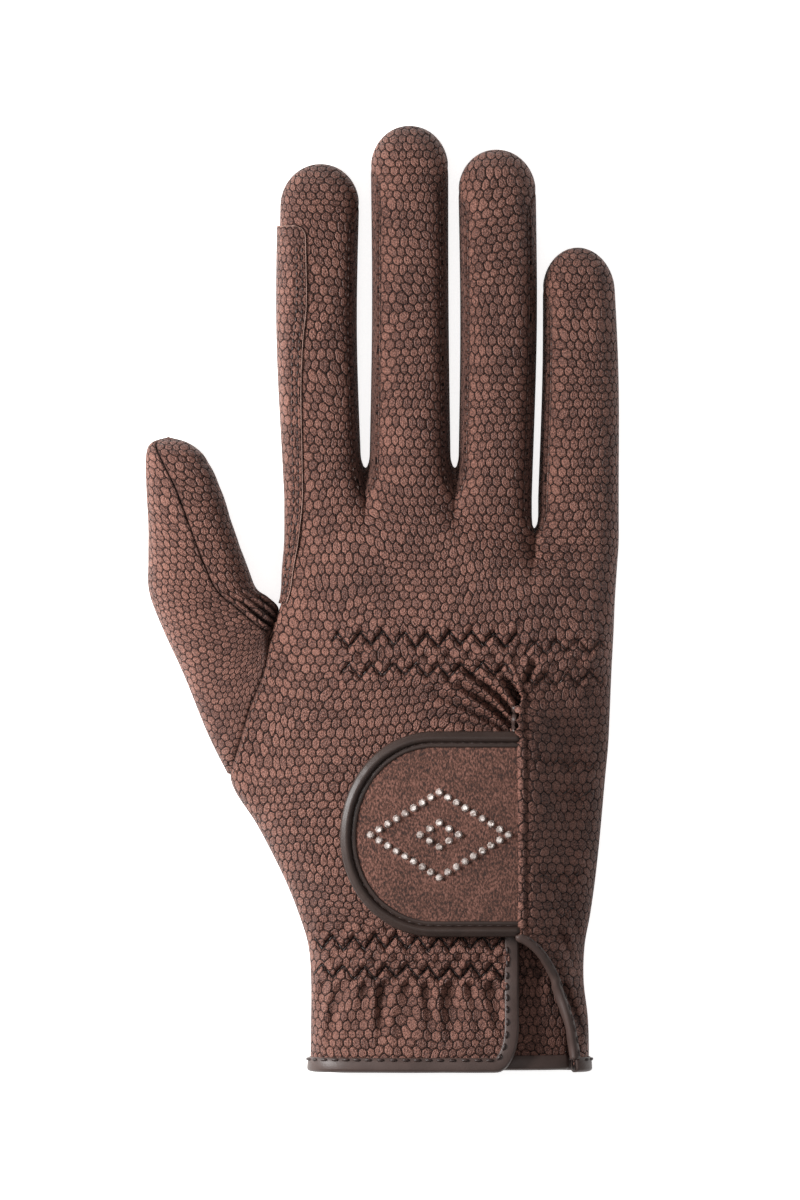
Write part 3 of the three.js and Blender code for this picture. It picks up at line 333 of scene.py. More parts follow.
# rows of zigzag stitching over elastic: height from the hem, ends, and which way the points face
elastics = [
    {"y": 107.3, "from": -29.5, "to": 16.6, "turn": 1, "pitch": 5.55, "start": -28.1, "swing": 1.75, "deep": 1},
    {"y": 99.6, "from": -27.5, "to": 15.6, "turn": -1, "pitch": 5.55, "start": -28.1, "swing": 1.6, "deep": .9},
    {"y": 105.4, "from": 18.4, "to": 38.5, "turn": 1, "pitch": 5.4, "start": 21, "swing": 1.6, "deep": .6},
    {"y": 97.4, "from": 18.4, "to": 38.2, "turn": -1, "pitch": 5.4, "start": 21, "swing": 1.5, "deep": .6},
    {"y": 76.4, "from": 20.5, "to": 36.5, "turn": 1, "pitch": 5, "start": 22, "swing": 1.3, "deep": .4},
    {"y": 68.6, "from": 24, "to": 35.8, "turn": -1, "pitch": 5, "start": 22, "swing": 1.1, "deep": .35},
    {"y": 48, "from": 22, "to": 33, "turn": 1, "pitch": 4.6, "start": 23, "swing": 1.3, "deep": .35},
    {"y": 39.5, "from": 23.5, "to": 31, "turn": -1, "pitch": 4.6, "start": 23, "swing": 1.1, "deep": .3},
    {"y": 31.6, "from": -34.2, "to": 14.8, "turn": 1, "pitch": 5.3, "start": -29.5, "swing": 1.75, "deep": 1},
    {"y": 24.2, "from": -34.2, "to": 14.8, "turn": -1, "pitch": 5.3, "start": -29.5, "swing": 1.6, "deep": 1},
]
foldLook = {"ridge": .5, "ridgeAt": 2.1, "shade": .7, "fadeFrom": .35}
rowLook = {"sway": .35, "puff": .62, "puffAt": 1.7, "puffWide": 1.1, "groove": .85, "grooveWide": .6}
gathers = {
    "pitch": 5.3, "start": -26.9, "foot": 3, "full": 15, "head": 21, "deep": 1.7, "fan": .72, "shade": .16,
}
# the gathers above the lower elastic rows, at the left only
upperGathers = {"pitch": 5.3, "from": 33, "to": 43, "lean": .55, "deep": .6}
flapLook = {
    "shade": .28, "roll": 1.1, "rollWide": 1.6, "furrow": .35, "furrowAt": 2.5, "ridge": .2, "ridgeAt": 1.2,
}
fineBands = [(21, 35), (82, 110)]  # heights of the elastic rows, where the back's grid is finer


def fromPath(x, y, path):
    # distance to the nearest point of a path, and how far along the path that is, from 0 to 1
    best, share = np.full(x.shape, 1e9), np.zeros(x.shape)
    for i, ((ax, ay), (bx, by)) in enumerate(zip(path, path[1:])):
        t = np.clip(((x - ax) * (bx - ax) + (y - ay) * (by - ay)) / ((bx - ax) ** 2 + (by - ay) ** 2), 0, 1)
        d = np.hypot(x - mix(ax, bx, t), y - mix(ay, by, t))
        share = np.where(d < best, (i + t) / (len(path) - 1), share)
        best = np.minimum(best, d)
    return best, share


def triangleWave(t):
    # 1 at whole numbers, -1 half way between
    return 4 * np.abs(t - np.floor(t) - .5) - 1


def zigzagLine(row, x):
    # height of a row's zigzag over x: a triangle wave on a line that sways a little
    line = row["y"] + rowLook["sway"] * np.sin(.31 * x + row["y"])
    return line + row["turn"] * row["swing"] * triangleWave((x - row["start"]) / row["pitch"])


def relief(x, y):
    # height added to the back: the sum of fold valleys with a low ridge beside each, zigzag
    # grooves with puffed leather between them, gathers as cosine waves, and slow waviness
    height = np.zeros(x.shape)
    shade = np.zeros(x.shape)
    for fold in folds:
        d, share = fromPath(x, y, fold["path"])
        d = d / (fold["wide"] * mix(.8, 1.3, share))
        fading = 1 - smooth(foldLook["fadeFrom"], 1, share)
        height += fold["deep"] * fading * (foldLook["ridge"] * bell(d - foldLook["ridgeAt"], 1) - bell(d, 1))
        shade = np.maximum(shade, foldLook["shade"] * min(1, fold["deep"]) * fading * np.exp(-1.6 * d * d))
    # signed distance to the nearest zigzag row, its sign turning at each row, and the row's strength
    nearest, sign, strength = np.full(x.shape, 9.0), np.ones(x.shape), np.zeros(x.shape)
    for row in elastics:
        line = zigzagLine(row, x)
        slope = 4 * row["swing"] / row["pitch"]
        d = np.abs(y - line) / np.sqrt(1 + slope * slope)
        started = smooth(row["from"] - .5, row["from"] + .5, x)
        own = row["deep"] * (started * (1 - smooth(row["to"] - .5, row["to"] + .5, x)))
        height += own * (rowLook["puff"] * bell(d - rowLook["puffAt"], rowLook["puffWide"])
                         - rowLook["groove"] * bell(d, rowLook["grooveWide"]))
        strength = np.where(d < nearest, own, strength)
        nearest = np.minimum(nearest, d)
        sign = sign * np.sign(y - line)
    # gathers under the lower rows, fanning out towards the hem
    head = gathers["head"]
    fan = mix(1, gathers["fan"], (head - y) / head)
    turns = 2 * np.pi * ((x + 8) * fan - 8 - gathers["start"]) / gathers["pitch"]
    wave = np.cos(turns + .8 * np.sin(.5 * x + .2 * y))
    belowBand = smooth(gathers["foot"], gathers["full"], y) * (1 - smooth(head, head + 2, y))
    leftOfSlit = 1 - smooth(11, 16, x)
    gathered = belowBand * leftOfSlit * (.5 + .5 * wave)
    height -= gathers["deep"] * gathered * (.75 + .25 * np.sin(.41 * x + 2))
    shade = np.maximum(shade, gathers["shade"] * gathered**2)
    low, high = upperGathers["from"], upperGathers["to"]
    aboveBand = smooth(low, low + 2, y) * (1 - smooth(low + 3, high, y)) * (1 - smooth(-20, -8, x))
    slanted = np.cos(2 * np.pi * (x - upperGathers["lean"] * (y - low) + 1) / upperGathers["pitch"])
    height -= upperGathers["deep"] * aboveBand * (.5 + .5 * slanted) ** 2
    # the flap lies in its own shade
    onFlap = smooth(slit["x"] - .5, slit["x"] + 1, x) * (1 - smooth(slit["top"] - 4, slit["top"] + 12, y))
    shade = np.maximum(shade, flapLook["shade"] * onFlap * smooth(0, 16, y))
    # leather puffed up between the upper rows, and slow waves all over
    betweenUpper = smooth(94, 98, y) * (1 - smooth(107, 111, y)) * smooth(-32, -26, x)
    height += .35 * betweenUpper
    height += (.22 * np.sin(.12 * x + .07 * y) + .16 * np.sin(.23 * y - .11 * x + 1)
               + .1 * np.sin(.37 * x + .29 * y))
    return height, shade, np.stack([nearest * sign, strength], axis=-1)


def facesOfGrid(rows, columns, offset=0, turned=False):
    # the quads of a grid of points
    i = np.arange(rows * columns).reshape(rows, columns) + offset
    quads = np.stack([i[:-1, :-1], i[:-1, 1:], i[1:, 1:], i[1:, :-1]], axis=-1).reshape(-1, 4)
    return quads[:, ::-1] if turned else quads


def weld(points, quads, extras):
    # points that fall together become one; faces that lose their area go
    _, first, index = np.unique(np.round(points, 3), axis=0, return_index=True, return_inverse=True)
    quads = index.reshape(-1)[quads]
    different = 1 + (np.diff(np.sort(quads, axis=1), axis=1) > 0).sum(axis=1)
    return points[first], quads[different > 2], [extra[first] for extra in extras]


def cornerNormals(points, quads):
    # normal of each vertex from the diagonals of its faces
    diagonal = np.cross(points[quads[:, 2]] - points[quads[:, 0]], points[quads[:, 3]] - points[quads[:, 1]])
    normals = np.zeros_like(points)
    for corner in range(4):
        np.add.at(normals, quads[:, corner], diagonal)
    return unit(normals)


def rimEdges(quads):
    # the edges that only one face has
    starts, ends = quads.reshape(-1), np.roll(quads, -1, axis=1).reshape(-1)
    real = starts != ends
    starts, ends = starts[real], ends[real]
    size = int(quads.max()) + 1
    forward, backward = starts.astype(np.int64) * size + ends, ends.astype(np.int64) * size + starts
    alone = ~np.isin(forward, backward)
    return starts[alone], ends[alone]


def shell(points, quads, extras, thickness, passes=6):
    # gives an open sheet its thickness inwards: each point moves along its normal, the normals
    # evened out over the neighbours first, and the rim is closed with a strip
    normals = cornerNormals(points, quads)
    starts, ends = quads.reshape(-1), np.roll(quads, -1, axis=1).reshape(-1)
    for _ in range(passes):
        sums = normals.copy()
        np.add.at(sums, starts, .3 * normals[ends])
        np.add.at(sums, ends, .3 * normals[starts])
        normals = unit(sums)
    count = len(points)
    a, b = rimEdges(quads)
    rim = np.stack([b, a, a + count, b + count], axis=-1)
    faces = np.concatenate([quads, quads[:, ::-1] + count, rim])
    return (np.concatenate([points, points - thickness * normals]), faces,
            [np.concatenate([extra, extra]) for extra in extras])


def makePiece(name, points, faces, material, replaced=(), slot=None, cloth=None, shade=None, rows=None):
    # puts the arrays into a mesh in metres; repeated corners make a face a triangle
    where = np.array(points, float)
    where[:, 1] -= glove["hemToOrigin"]
    mesh = bpy.data.meshes.new(name)
    faces = np.asarray(faces)
    keep = faces != np.roll(faces, -1, axis=1)
    sizes = keep.sum(axis=1)
    faces, keep, sizes = faces[sizes > 2], keep[sizes > 2], sizes[sizes > 2]
    corners = faces[keep]
    mesh.vertices.add(len(where))
    mesh.vertices.foreach_set("co", (where / 1000).reshape(-1))
    mesh.loops.add(len(corners))
    mesh.loops.foreach_set("vertex_index", corners.astype(np.int32))
    mesh.polygons.add(len(faces))
    mesh.polygons.foreach_set("loop_start", (np.cumsum(sizes) - sizes).astype(np.int32))
    mesh.polygons.foreach_set("use_smooth", np.ones(len(faces), bool))
    mesh.update(calc_edges=True)
    mesh.validate()
    for label, pairs in (("cloth", cloth), ("elasticRow", rows)):
        if pairs is not None:
            attribute = mesh.attributes.new(label, "FLOAT_VECTOR", "POINT")
            flat = np.concatenate([pairs, np.zeros((len(pairs), 1))], axis=1)
            attribute.data.foreach_set("vector", flat.astype(np.float32).reshape(-1))
    if shade is not None:
        attribute = mesh.attributes.new("shade", "FLOAT", "POINT")
        attribute.data.foreach_set("value", shade.astype(np.float32))
    mesh.materials.append(material)
    piece = bpy.data.objects.new(name, mesh)
    scene.collection.objects.link(piece)
    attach(piece, "root")
    if replaced:
        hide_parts(*replaced)


def makeSheet(name, points, quads, extras, material, replaced, slot, thickness):
    # an open sheet with its thickness, as a piece
    points, faces, extras = shell(points, quads, extras, thickness)
    makePiece(name, points, faces, material, replaced, slot, *extras)
    return len(faces)


def colour(hexValue):
    # sRGB hex to Blender's linear colour
    parts = [int(hexValue[i:i + 2], 16) / 255 for i in (1, 3, 5)]
    return [p / 12.92 if p <= .04045 else ((p + .055) / 1.055) ** 2.4 for p in parts] + [1]


def addNode(tree, kind, settings=None, inputs=None):
    # one node: settings are its properties, inputs are values or the sockets linked to them
    node = tree.nodes.new(kind)
    for key, value in (settings or {}).items():
        setattr(node, key, value)
    for key, value in (inputs or {}).items():
        socket = node.inputs[key]
        if isinstance(value, bpy.types.NodeSocket):
            tree.links.new(value, socket)
        else:
            socket.default_value = value
    return node


def startMaterial(name):
    # a new material with its node tree and shader
    material = bpy.data.materials.new(name)
    material.use_nodes = True
    tree = material.node_tree
    return material, tree, tree.nodes["Principled BSDF"]


# Embossed synthetic leather: a soft polyurethane face on a knit, pressed with small rounded
# scales in rows. It looks matt, with tiny pores on each scale; its thin grooves are painted near black as
# painted shade.
scaleLeather = {
    "top": "#432a24", "light": "#8b6053", "groove": "#150a08", "cellWide": 2.15, "rowPitch": 2.3, "pore": .42,
    "dome": .00052, "roughness": .52, "specular": .3,
}


def leatherMaterial(name, look):
    material, tree, shader = startMaterial(name)
    link = tree.links.new
    cloth = addNode(tree, "ShaderNodeAttribute", {"attribute_name": "cloth"}).outputs["Vector"]
    # slow and quick wandering of the rows, in cells
    slow = addNode(tree, "ShaderNodeTexNoise", {}, {"Vector": cloth, "Scale": .045, "Detail": 0.0})
    quick = addNode(tree, "ShaderNodeTexNoise", {}, {"Vector": cloth, "Scale": .26, "Detail": 0.0})
    placed = addNode(tree, "ShaderNodeVectorMath", {"operation": "MULTIPLY"},
                     {0: cloth, 1: (1 / look["cellWide"], .866 / look["rowPitch"], 0)}).outputs[0]
    for noise, amount in ((slow, 2.6), (quick, .6)):
        shift = addNode(tree, "ShaderNodeVectorMath", {"operation": "MULTIPLY_ADD"},
                        {0: noise.outputs["Color"], 1: (amount, amount, 0), 2: (-amount / 2, -amount / 2, 0)})
        placed = addNode(tree, "ShaderNodeVectorMath", {"operation": "ADD"},
                         {0: placed, 1: shift.outputs[0]}).outputs[0]
    # hexagons: the nearer of the centres of two staggered grids
    half = (.5, .8660254, 1)
    moved = addNode(tree, "ShaderNodeVectorMath", {"operation": "ADD"}, {0: placed, 1: half}).outputs[0]
    flat, lengths = [], []
    for grid in (placed, moved):
        wrapped = addNode(tree, "ShaderNodeVectorMath", {"operation": "WRAP"},
                          {0: grid, 1: half, 2: tuple(-h for h in half)}).outputs[0]
        flat.append(addNode(tree, "ShaderNodeVectorMath", {"operation": "MULTIPLY"},
                            {0: wrapped, 1: (1, 1, 0)}).outputs[0])
        lengths.append(addNode(tree, "ShaderNodeVectorMath", {"operation": "LENGTH"},
                               {0: flat[-1]}).outputs["Value"])
    nearer = addNode(tree, "ShaderNodeMath", {"operation": "LESS_THAN"},
                     {0: lengths[0], 1: lengths[1]}).outputs[0]
    local = addNode(tree, "ShaderNodeMix", {"data_type": "VECTOR"},
                    {0: nearer, 4: flat[1], 5: flat[0]}).outputs[1]
    reach = addNode(tree, "ShaderNodeMath", {"operation": "MINIMUM"},
                    {0: lengths[0], 1: lengths[1]}).outputs[0]
    absolute = addNode(tree, "ShaderNodeVectorMath", {"operation": "ABSOLUTE"}, {0: local}).outputs[0]
    slanted = addNode(tree, "ShaderNodeVectorMath", {"operation": "DOT_PRODUCT"},
                      {0: absolute, 1: (.5, .8660254, 0)}).outputs["Value"]
    split = addNode(tree, "ShaderNodeSeparateXYZ", {}, {0: absolute}).outputs["X"]
    hexagon = addNode(tree, "ShaderNodeMath", {"operation": "MAXIMUM"}, {0: slanted, 1: split}).outputs[0]
    edge = addNode(tree, "ShaderNodeMix", {"data_type": "FLOAT"}, {0: .42, 2: hexagon, 3: reach}).outputs[0]
    # the grooves between the scales, where painted shade goes
    groove = addNode(tree, "ShaderNodeMapRange", {"interpolation_type": "SMOOTHSTEP"},
                     {"Value": edge, "From Min": .435, "From Max": .49, "To Min": 0.0, "To Max": 1.0}).outputs[0]
    # each scale's own tone
    centre = addNode(tree, "ShaderNodeVectorMath", {"operation": "SUBTRACT"},
                     {0: placed, 1: local}).outputs[0]
    snapped = addNode(tree, "ShaderNodeVectorMath", {"operation": "SNAP"},
                      {0: centre, 1: (.25, .25, 1)}).outputs[0]
    own = addNode(tree, "ShaderNodeTexWhiteNoise", {"noise_dimensions": "2D"},
                  {"Vector": snapped}).outputs["Value"]
    pores = addNode(tree, "ShaderNodeTexNoise", {},
                    {"Vector": cloth, "Scale": 1 / look["pore"], "Detail": 2.0}).outputs["Fac"]
    cloud = addNode(tree, "ShaderNodeTexNoise", {},
                    {"Vector": cloth, "Scale": .06, "Detail": 2.0}).outputs["Fac"]
    tone = 0.0
    for value, amount in ((own, .45), (pores, 3.0), (cloud, .6)):
        tone = addNode(tree, "ShaderNodeMath", {"operation": "MULTIPLY_ADD"},
                       {0: value, 1: amount, 2: tone}).outputs[0]
    spread = addNode(tree, "ShaderNodeMapRange", {},
                     {"Value": tone, "From Min": 1.55, "From Max": 2.5}).outputs[0]
    top = addNode(tree, "ShaderNodeMix", {"data_type": "RGBA"},
                  {0: spread, 6: colour(look["top"]), 7: colour(look["light"])}).outputs[2]
    shade = addNode(tree, "ShaderNodeAttribute", {"attribute_name": "shade"}).outputs["Fac"]
    # the elastic's zigzag: a fine line where the signed distance passes through zero, painted dark as the shade
    # in its pressed groove
    row = addNode(tree, "ShaderNodeAttribute", {"attribute_name": "elasticRow"}).outputs["Vector"]
    row = addNode(tree, "ShaderNodeSeparateXYZ", {}, {0: row})
    off = addNode(tree, "ShaderNodeMath", {"operation": "ABSOLUTE"}, {0: row.outputs["X"]}).outputs[0]
    off = addNode(tree, "ShaderNodeMapRange", {"interpolation_type": "SMOOTHSTEP"},
                  {"Value": off, "From Min": .08, "From Max": .42, "To Min": 1.0, "To Max": 0.0}).outputs[0]
    line = addNode(tree, "ShaderNodeMath", {"operation": "MULTIPLY"},
                   {0: off, 1: row.outputs["Y"]}).outputs[0]
    # painted shade: the scale grooves, the shade attribute's painted shade and the elastic's line turn the tops
    # towards the near-black groove colour
    dark = groove
    for other in (shade, line):
        dark = addNode(tree, "ShaderNodeMath", {"operation": "MAXIMUM"}, {0: dark, 1: other}).outputs[0]
    tint = addNode(tree, "ShaderNodeMix", {"data_type": "RGBA"},
                   {0: dark, 6: top, 7: colour(look["groove"])}).outputs[2]
    link(tint, shader.inputs["Base Color"])
    # height: a dome on each scale, with pores, and the elastic's line pressed in
    dome = addNode(tree, "ShaderNodeMapRange", {"interpolation_type": "SMOOTHERSTEP"},
                   {"Value": edge, "From Min": .33, "From Max": .49, "To Min": 1.0, "To Max": 0.0}).outputs[0]
    height = addNode(tree, "ShaderNodeMath", {"operation": "MULTIPLY_ADD"},
                     {0: pores, 1: 1.7, 2: dome}).outputs[0]
    height = addNode(tree, "ShaderNodeMath", {"operation": "MULTIPLY_ADD"},
                     {0: line, 1: -1.5, 2: height}).outputs[0]
    bump = addNode(tree, "ShaderNodeBump", {}, {"Strength": .8, "Distance": look["dome"], "Height": height})
    link(bump.outputs["Normal"], shader.inputs["Normal"])
    # grooves and seams are dull
    dullness = addNode(tree, "ShaderNodeMapRange", {},
                       {"Value": dark, "To Min": look["roughness"], "To Max": 1.0}).outputs[0]
    link(dullness, shader.inputs["Roughness"])
    shader.inputs["Specular IOR Level"].default_value = look["specular"]
    return material


# Smooth binding leather: thin calf-like strip with a soft satin face and a fine grain.
trimLeather = {
    "base": "#3a2d29", "light": "#503f3a", "grain": .5, "height": .00006, "roughness": .45, "specular": .35,
}
darkTrim = {**trimLeather, "base": "#2a1f1b", "light": "#3c2e29"}
# the cut side of the leather, where its pale backing shows
cutSide = {**trimLeather, "base": "#5d4138", "light": "#b08f83", "roughness": .8}


def trimMaterial(name, look):
    material, tree, shader = startMaterial(name)
    place = addNode(tree, "ShaderNodeTexCoord").outputs["Object"]
    grain = addNode(tree, "ShaderNodeTexVoronoi", {"feature": "DISTANCE_TO_EDGE"},
                    {"Vector": place, "Scale": 1000 / look["grain"]}).outputs["Distance"]
    cloud = addNode(tree, "ShaderNodeTexNoise", {},
                    {"Vector": place, "Scale": 260.0, "Detail": 3.0}).outputs["Fac"]
    tint = addNode(tree, "ShaderNodeMix", {"data_type": "RGBA"},
                   {0: cloud, 6: colour(look["base"]), 7: colour(look["light"])}).outputs[2]
    tree.links.new(tint, shader.inputs["Base Color"])
    bump = addNode(tree, "ShaderNodeBump", {}, {"Strength": .5, "Distance": look["height"], "Height": grain})
    tree.links.new(bump.outputs["Normal"], shader.inputs["Normal"])
    shader.inputs["Roughness"].default_value = look["roughness"]
    shader.inputs["Specular IOR Level"].default_value = look["specular"]
    return material


# Suede: the napped side of a microfibre leather, matt and mottled where the nap lies both ways.
suedeLook = {
    "deep": "#2b1711", "base": "#573529", "light": "#80564a", "nap": .42, "height": .0002, "roughness": .95,
    "sheen": .25,
}


def suedeMaterial(name, look):
    material, tree, shader = startMaterial(name)
    place = addNode(tree, "ShaderNodeTexCoord").outputs["Object"]
    stretched = addNode(tree, "ShaderNodeMapping", {},
                        {"Vector": place, "Rotation": (0, 0, .5), "Scale": (1, .55, 1)}).outputs[0]
    nap = addNode(tree, "ShaderNodeTexNoise", {}, {"Vector": stretched, "Scale": 1000 / look["nap"],
                                                   "Detail": 3.0, "Roughness": .65}).outputs["Fac"]
    patches = addNode(tree, "ShaderNodeTexNoise", {},
                      {"Vector": place, "Scale": 170.0, "Detail": 4.0}).outputs["Fac"]
    blend = addNode(tree, "ShaderNodeMath", {"operation": "MULTIPLY_ADD"},
                    {0: patches, 1: .16, 2: .262}).outputs[0]
    blend = addNode(tree, "ShaderNodeMath", {"operation": "MULTIPLY_ADD"},
                    {0: nap, 1: 1.0, 2: blend}).outputs[0]
    spread = addNode(tree, "ShaderNodeMapRange", {},
                     {"Value": blend, "From Min": .72, "From Max": .98}).outputs[0]
    ramp = addNode(tree, "ShaderNodeValToRGB", {}, {"Fac": spread})
    ramp.color_ramp.elements[0].color = colour(look["deep"])
    ramp.color_ramp.elements[1].color = colour(look["light"])
    ramp.color_ramp.elements.new(.5).color = colour(look["base"])
    tree.links.new(ramp.outputs["Color"], shader.inputs["Base Color"])
    bump = addNode(tree, "ShaderNodeBump", {}, {"Strength": .7, "Distance": look["height"], "Height": nap})
    tree.links.new(bump.outputs["Normal"], shader.inputs["Normal"])
    shader.inputs["Roughness"].default_value = look["roughness"]
    shader.inputs["Sheen Weight"].default_value = look["sheen"]
    shader.inputs["Sheen Roughness"].default_value = .5
    return material


# Waxed polyester sewing thread, twisted, with a dull shine.
threadLook = {"base": "#3a2722", "light": "#5a4038", "roughness": .5}
darkThreadLook = {**threadLook, "base": "#1d110e", "light": "#35221d"}


def threadMaterial(name, look):
    material, tree, shader = startMaterial(name)
    place = addNode(tree, "ShaderNodeTexCoord").outputs["Object"]
    twist = addNode(tree, "ShaderNodeTexNoise", {},
                    {"Vector": place, "Scale": 3200.0, "Detail": 1.0}).outputs["Fac"]
    tint = addNode(tree, "ShaderNodeMix", {"data_type": "RGBA"},
                   {0: twist, 6: colour(look["base"]), 7: colour(look["light"])}).outputs[2]
    tree.links.new(tint, shader.inputs["Base Color"])
    bump = addNode(tree, "ShaderNodeBump", {}, {"Strength": .6, "Distance": .0001, "Height": twist})
    tree.links.new(bump.outputs["Normal"], shader.inputs["Normal"])
    shader.inputs["Roughness"].default_value = look["roughness"]
    return material


# Cut glass stones with a foil back: champagne silver facets, some painted near white as painted glints, so they
# flash light and dark.
stoneLook = {"foil": "#8f7d75", "bright": "#fff6f0", "roughness": .18, "metallic": .55, "coat": .6}


def stoneMaterial(name, look):
    material, tree, shader = startMaterial(name)
    place = addNode(tree, "ShaderNodeTexCoord").outputs["Object"]
    # each facet's colour is a random mix from the foil to a near-white painted glint: painted reflections
    facets = addNode(tree, "ShaderNodeTexVoronoi", {}, {"Vector": place, "Scale": 1500.0}).outputs["Color"]
    amount = addNode(tree, "ShaderNodeSeparateColor", {}, {0: facets}).outputs[0]
    tint = addNode(tree, "ShaderNodeMix", {"data_type": "RGBA"},
                   {0: amount, 6: colour(look["foil"]), 7: colour(look["bright"])}).outputs[2]
    tree.links.new(tint, shader.inputs["Base Color"])
    shader.inputs["Metallic"].default_value = look["metallic"]
    shader.inputs["Roughness"].default_value = look["roughness"]
    shader.inputs["Coat Weight"].default_value = look["coat"]
    return material


leather = leatherMaterial("embossed_scale_leather", scaleLeather)
trim = trimMaterial("smooth_binding_leather", trimLeather)
tabTrim = trimMaterial("dark_binding_leather", darkTrim)
cutEdge = trimMaterial("cut_leather_edge", cutSide)
suede = suedeMaterial("napped_suede", suedeLook)
thread = threadMaterial("twisted_thread", threadLook)
darkThread = threadMaterial("dark_elastic_thread", darkThreadLook)
stone = stoneMaterial("foiled_cut_glass", stoneLook)
print("materials made")

# each piece takes its own stretch of the flat leather, so no two show the same scales
clothOffset = {"strips": 200, "thumbOuter": 300, "thumbInner": 400, "patch": 500, "gusset": 600}

panelLook = {
    "columns": 48, "palmColumns": 26, "rowStep": 1.28, "palmStep": 1.2, "fineStep": .42, "tipRows": 15,
    "lip": .45, "lipWide": .7, "lap": .95, "lapReach": 7, "furrow": .8,
}
thumbRim = {"turn": .5, "wide": .9, "shade": .8}


def panelRows(side):
    # heights of the rows from the hem to the crotches, closer together at the elastic
    marks = [11, slit["vent"], thumbLow, slit["top"], thumbHigh, notchY[side][2], notchY[side][0]]
    if side < 0:
        return runs([0, 2.4, *marks], panelLook["palmStep"])
    knots = sorted([1.2, *marks, *np.array(fineBands).reshape(-1)])
    parts = [np.array([0, .06, .25, .6])]
    for a, b in zip(knots, knots[1:]):
        fine = any(low <= a and b <= high for low, high in fineBands)
        parts.append(runs([a, b], panelLook["fineStep"] if fine else panelLook["rowStep"])[:-1])
    return np.concatenate([*parts, [knots[-1]]])


def fingerTail(side, k):
    # heights of the rows up finger k, closer together towards the tip
    start = tipY[k] - fingerRows["tipRound"]
    step = panelLook["rowStep"] if side > 0 else panelLook["palmStep"]
    crotch = notchY[side][0]
    body = runs([crotch, crotch + 1.5, crotch + 8, start], step)[1:]
    turns = np.radians(np.linspace(0, 90, panelLook["tipRows"]))[1:]
    return np.concatenate([body, start + fingerRows["tipRound"] * np.sin(turns)])


def clothPlace(points, side, k, y):
    # place on the flat leather: x plus the extra arc length towards each edge, and the arc
    # length up the middle of the finger; the extra fades out where neighbouring shares join
    middle = points.shape[1] // 2
    arc = arcAcross(points)
    arc = arc - arc[:, middle:middle + 1]
    flat = points[..., 0] - points[:, middle:middle + 1, 0]
    extra = arc - flat
    for half, outer, crotch in ((arc < 0, k == 0, max(0, k - 1)), (arc >= 0, k == 3, min(2, k))):
        if not outer:
            notch = notchY[side][crotch]
            extra = np.where(half, extra * smooth(notch - 1, notch + 10, y)[:, None], extra)
    up = arcAlong(points[:, middle])
    onHand = y <= rootY
    up = np.where(onHand, y, up - up[onHand][-1] + rootY)
    return np.stack([points[..., 0] + extra, np.broadcast_to(up[:, None], flat.shape)], axis=-1)


def surfaceNormals(points, side):
    # a grid's normals, from its slopes along both ways
    du = np.gradient(points, axis=1)
    dv = np.gradient(points, axis=0)
    return unit(np.cross(du, dv) * side)


def edgeShape(side, k, y, arc, shade):
    # how far the panel sinks at its edges, and the shade there: a stitched edge turns down as a
    # quarter circle with a furrow beside it, the flap's edge as a roll, the thumb's rim to its seam
    sink = np.zeros(arc.shape)
    fromRight = arc[:, -1:] - arc
    for distance, outer, crotch in ((arc, k == 0, max(0, k - 1)), (fromRight, k == 3, min(2, k))):
        if outer:
            continue
        notch = notchY[side][crotch]
        free = (smooth(notch, notch + 3, y) * (1 - smooth(tipY[k] - 13, tipY[k] - 9, y)))[:, None]
        lip = roundOver(distance, panelLook["lipWide"])
        sink += free * panelLook["lip"] * (lip + .4 * bell(distance - panelLook["furrow"], .35))
        shade = np.maximum(shade, free * .6 * bell(distance - panelLook["furrow"], .4))
    if side > 0 and k == 3:
        rolled = (smooth(slit["vent"] - 1, slit["vent"] + 3, y)
                  * (1 - smooth(slit["top"] - 3, slit["top"], y)))[:, None]
        sink += rolled * flapLook["roll"] * roundOver(arc, flapLook["rollWide"])
        sink += rolled * (flapLook["furrow"] * bell(arc - flapLook["furrowAt"], .5)
                          - flapLook["ridge"] * bell(arc - flapLook["ridgeAt"], .7))
    if side > 0 and k == 0:
        atThumb = (smooth(thumbLow - 1, thumbLow + 3, y)
                   * (1 - smooth(thumbHigh - 3, thumbHigh + 1, y)))[:, None]
        sink += atThumb * thumbRim["turn"] * roundOver(arc, thumbRim["wide"])
        shade = np.maximum(shade, atThumb * thumbRim["shade"] * bell(arc, .5))
    return sink, shade


def panelShare(side, k, handY, count):
    # finger k's share of the panel as a grid, with its cloth place, shade and elastic rows
    y = np.concatenate([handY, fingerTail(side, k)])
    c = np.linspace(0, 1, count)
    points = skin(side, k, c[None, :], y[:, None] + np.zeros((1, count)))
    cloth = clothPlace(points, side, k, y)
    shade = np.zeros(points.shape[:2])
    rows = np.zeros((*points.shape[:2], 2))
    if side > 0 and k == 3:
        # the flap's rolled edge laps over the slit
        beside = 1 - smooth(0, panelLook["lapReach"], points[..., 0] - points[:, :1, 0])
        belowTop = smooth(slit["top"] + .5, slit["top"] - 5, points[..., 1])
        lengthwise = belowTop * smooth(slit["vent"] - 5, slit["vent"] + 3, points[..., 1])
        points[..., 0] -= panelLook["lap"] * beside * lengthwise
    if side > 0:
        height, shade, rows = relief(points[..., 0], points[..., 1])
        left, right = handSection(points[..., 1])[:2]
        fromSide = np.minimum(points[..., 0] - left, right - points[..., 0])
        onHand = 1 - smooth(rootY - 12, rootY + 4, points[..., 1])
        room = smooth(.3, 5, np.where(points[..., 1] < rootY, fromSide, 9)) * onHand
        points[..., 2] += height * room
        shade = shade * onHand
        rows[..., 1] *= onHand
    sink, shade = edgeShape(side, k, y, arcAcross(points), shade)
    points = points - surfaceNormals(points, side) * sink[..., None]
    return points, cloth, shade, rows


